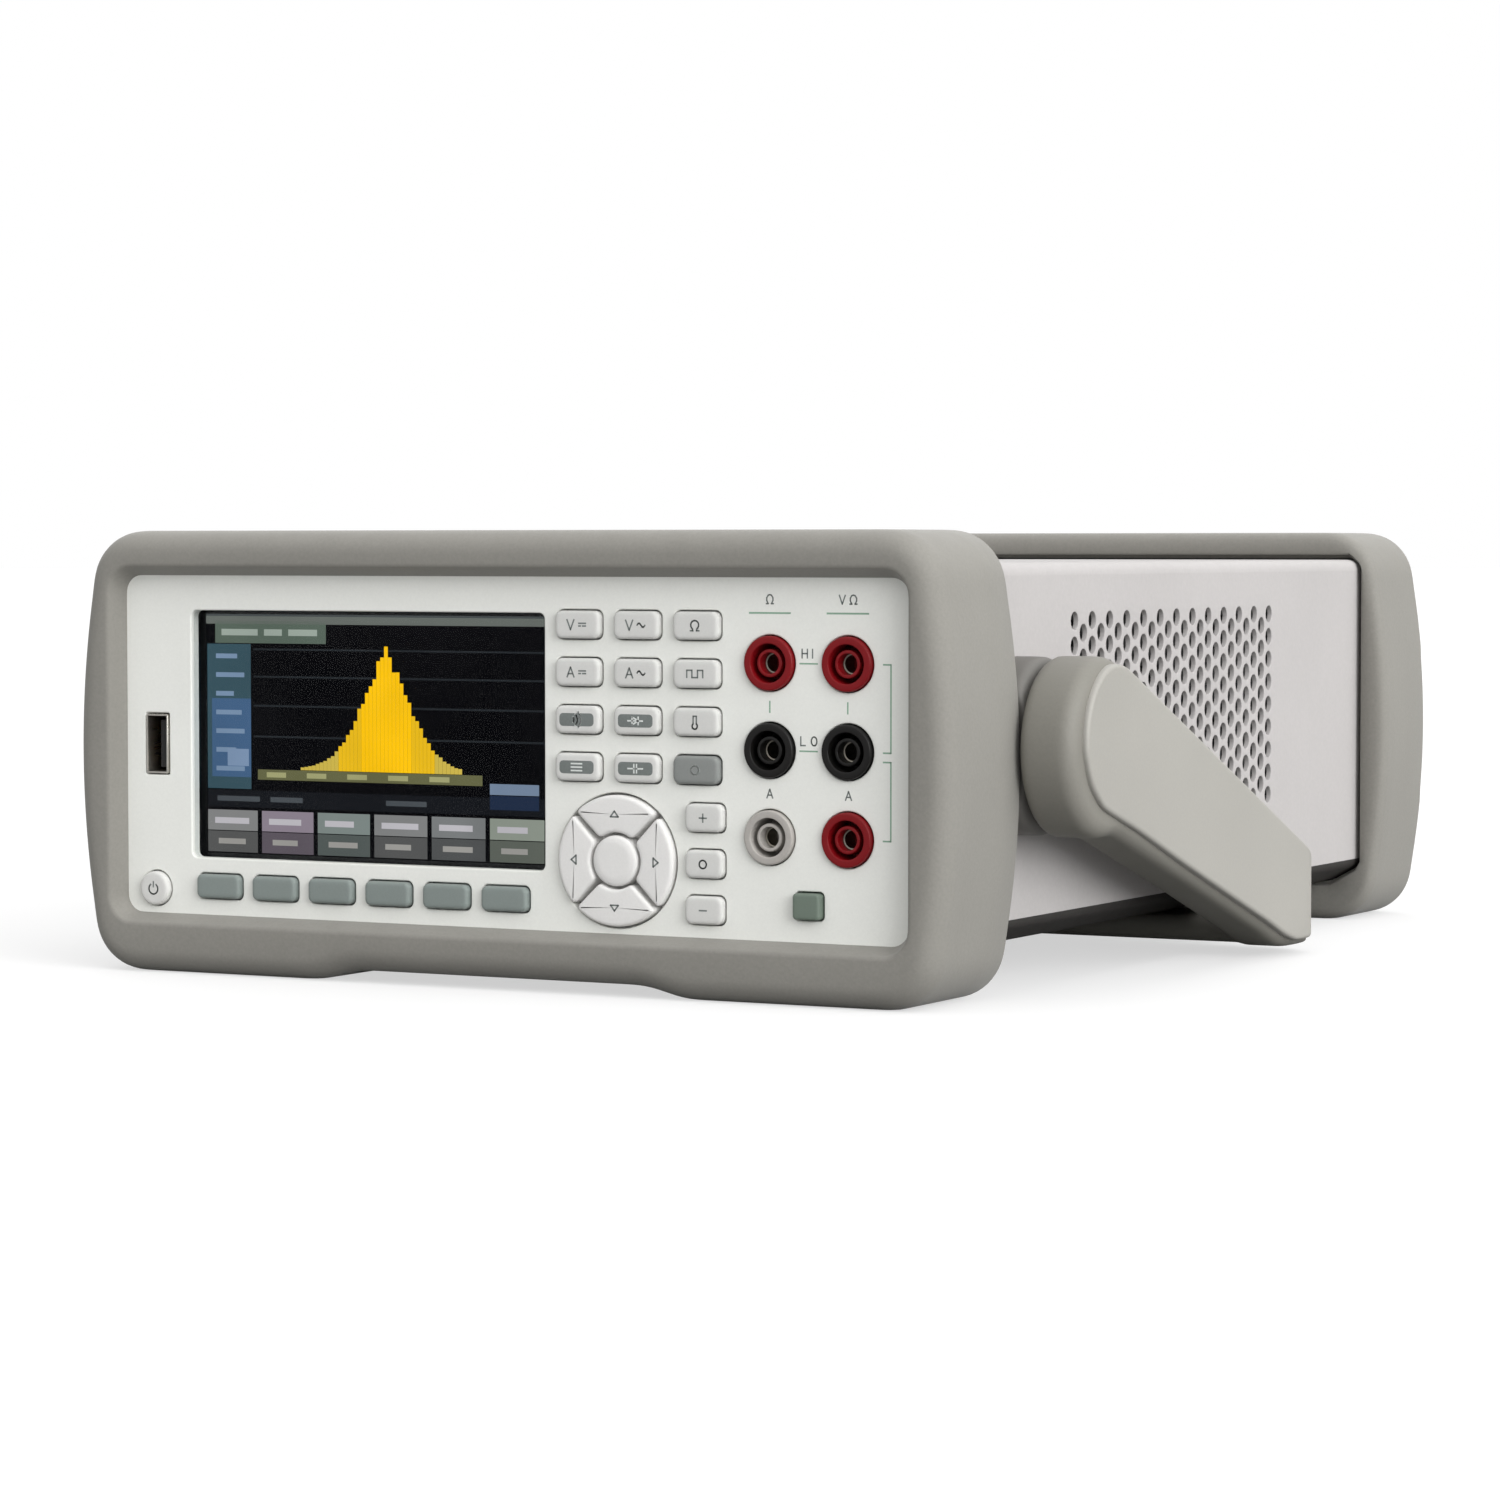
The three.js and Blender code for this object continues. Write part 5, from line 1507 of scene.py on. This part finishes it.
# ------------------------------------------------------------------ floor, light, camera
def floor():
    """Near-white paper to the camera, dimmer in the light it throws back."""
    mesh = bpy.data.meshes.new("floor")
    bm = bmesh.new()
    bmesh.ops.create_grid(bm, x_segments=2, y_segments=2, size=30.0)
    bm.to_mesh(mesh)
    bm.free()
    item = link_object("floor", mesh)
    nodes = material_nodes("floor_paper")
    seen = nodes.add("ShaderNodeBsdfDiffuse", {"Color": (0.9, 0.9, 0.9, 1)})
    dim = nodes.add("ShaderNodeBsdfDiffuse", {"Color": (0.28, 0.28, 0.28, 1)})
    lit = nodes.add("ShaderNodeEmission", {"Color": (1, 1, 1, 1), "Strength": 1.0})
    pale = nodes.add("ShaderNodeMixShader", {0: 0.6, 1: seen.outputs[0], 2: lit.outputs[0]})
    camera_ray = nodes.add("ShaderNodeLightPath").outputs["Is Camera Ray"]
    nodes.finish(nodes.add(
        "ShaderNodeMixShader", {0: camera_ray, 1: dim.outputs[0], 2: pale.outputs[0]}
    ))
    mesh.materials.append(MATERIALS["floor_paper"])


def studio_world():
    """A white backdrop to the camera; a soft dome of broad lobes as light."""
    world = bpy.data.worlds.new("studio")
    bpy.context.scene.world = world
    nodes = Nodes(world, "ShaderNodeOutputWorld")
    coord = nodes.add("ShaderNodeTexCoord").outputs["Generated"]
    camera_ray = nodes.add("ShaderNodeLightPath").outputs["Is Camera Ray"]

    def lobe(direction, power, gain):
        inputs = {0: coord, 1: tuple(Vector(direction).normalized())}
        dot = nodes.add("ShaderNodeVectorMath", inputs, operation="DOT_PRODUCT")
        facing = nodes.math("MAXIMUM", dot.outputs["Value"], 0.0)
        return nodes.math("MULTIPLY", nodes.math("POWER", facing, power), gain)

    total = lobe((0, 0, 1), power=1.5, gain=1.2)  # overhead
    for direction, gain in (
        ((0.94, -0.20, 0.10), 4.2),  # right
        ((-0.35, -0.88, 0.26), 0.72),  # front left
        ((-0.5, 0.85, 0.22), 1.3),  # back left
    ):
        total = nodes.math("ADD", total, lobe(direction, power=4.0, gain=gain))
    total = nodes.math("ADD", total, 0.05)
    white = (1, 1, 1, 1)
    seen = nodes.add("ShaderNodeBackground", {"Color": white, "Strength": 1.0})
    light = nodes.add("ShaderNodeBackground", {"Color": white, "Strength": total})
    nodes.finish(nodes.add(
        "ShaderNodeMixShader", {0: camera_ray, 1: light.outputs[0], 2: seen.outputs[0]}
    ))


def key_light():
    """A broad sun from the front right."""
    direction = Vector((0.86, -0.38, 0.34))
    light = bpy.data.lights.new("key_light", "SUN")
    light.energy, light.angle = 1.0, math.radians(36)
    item = link_object("key_light", light)
    item.location = direction.normalized() * 3
    item.rotation_euler = (-direction).to_track_quat("-Z", "Y").to_euler()


def camera():
    """Looks from the front right, slightly down."""
    tilt = 0.045941043  # radians below the horizon
    heading_x, heading_y = -0.46973, 0.88281
    data = bpy.data.cameras.new("camera")
    data.sensor_width, data.lens = 36.0, 105.9
    data.clip_start, data.clip_end = 0.05, 20
    item = link_object("camera", data)
    item.location = (0.517166, -0.846731 + Y_SHIFT, 0.099945)
    look = Vector((heading_x * math.cos(tilt), heading_y * math.cos(tilt), -math.sin(tilt)))
    item.rotation_euler = look.to_track_quat("-Z", "Y").to_euler()
    bpy.context.scene.camera = item


floor()
studio_world()
key_light()
camera()
bpy.context.scene.view_settings.view_transform = "Standard"
bpy.context.scene.view_settings.look = "None"
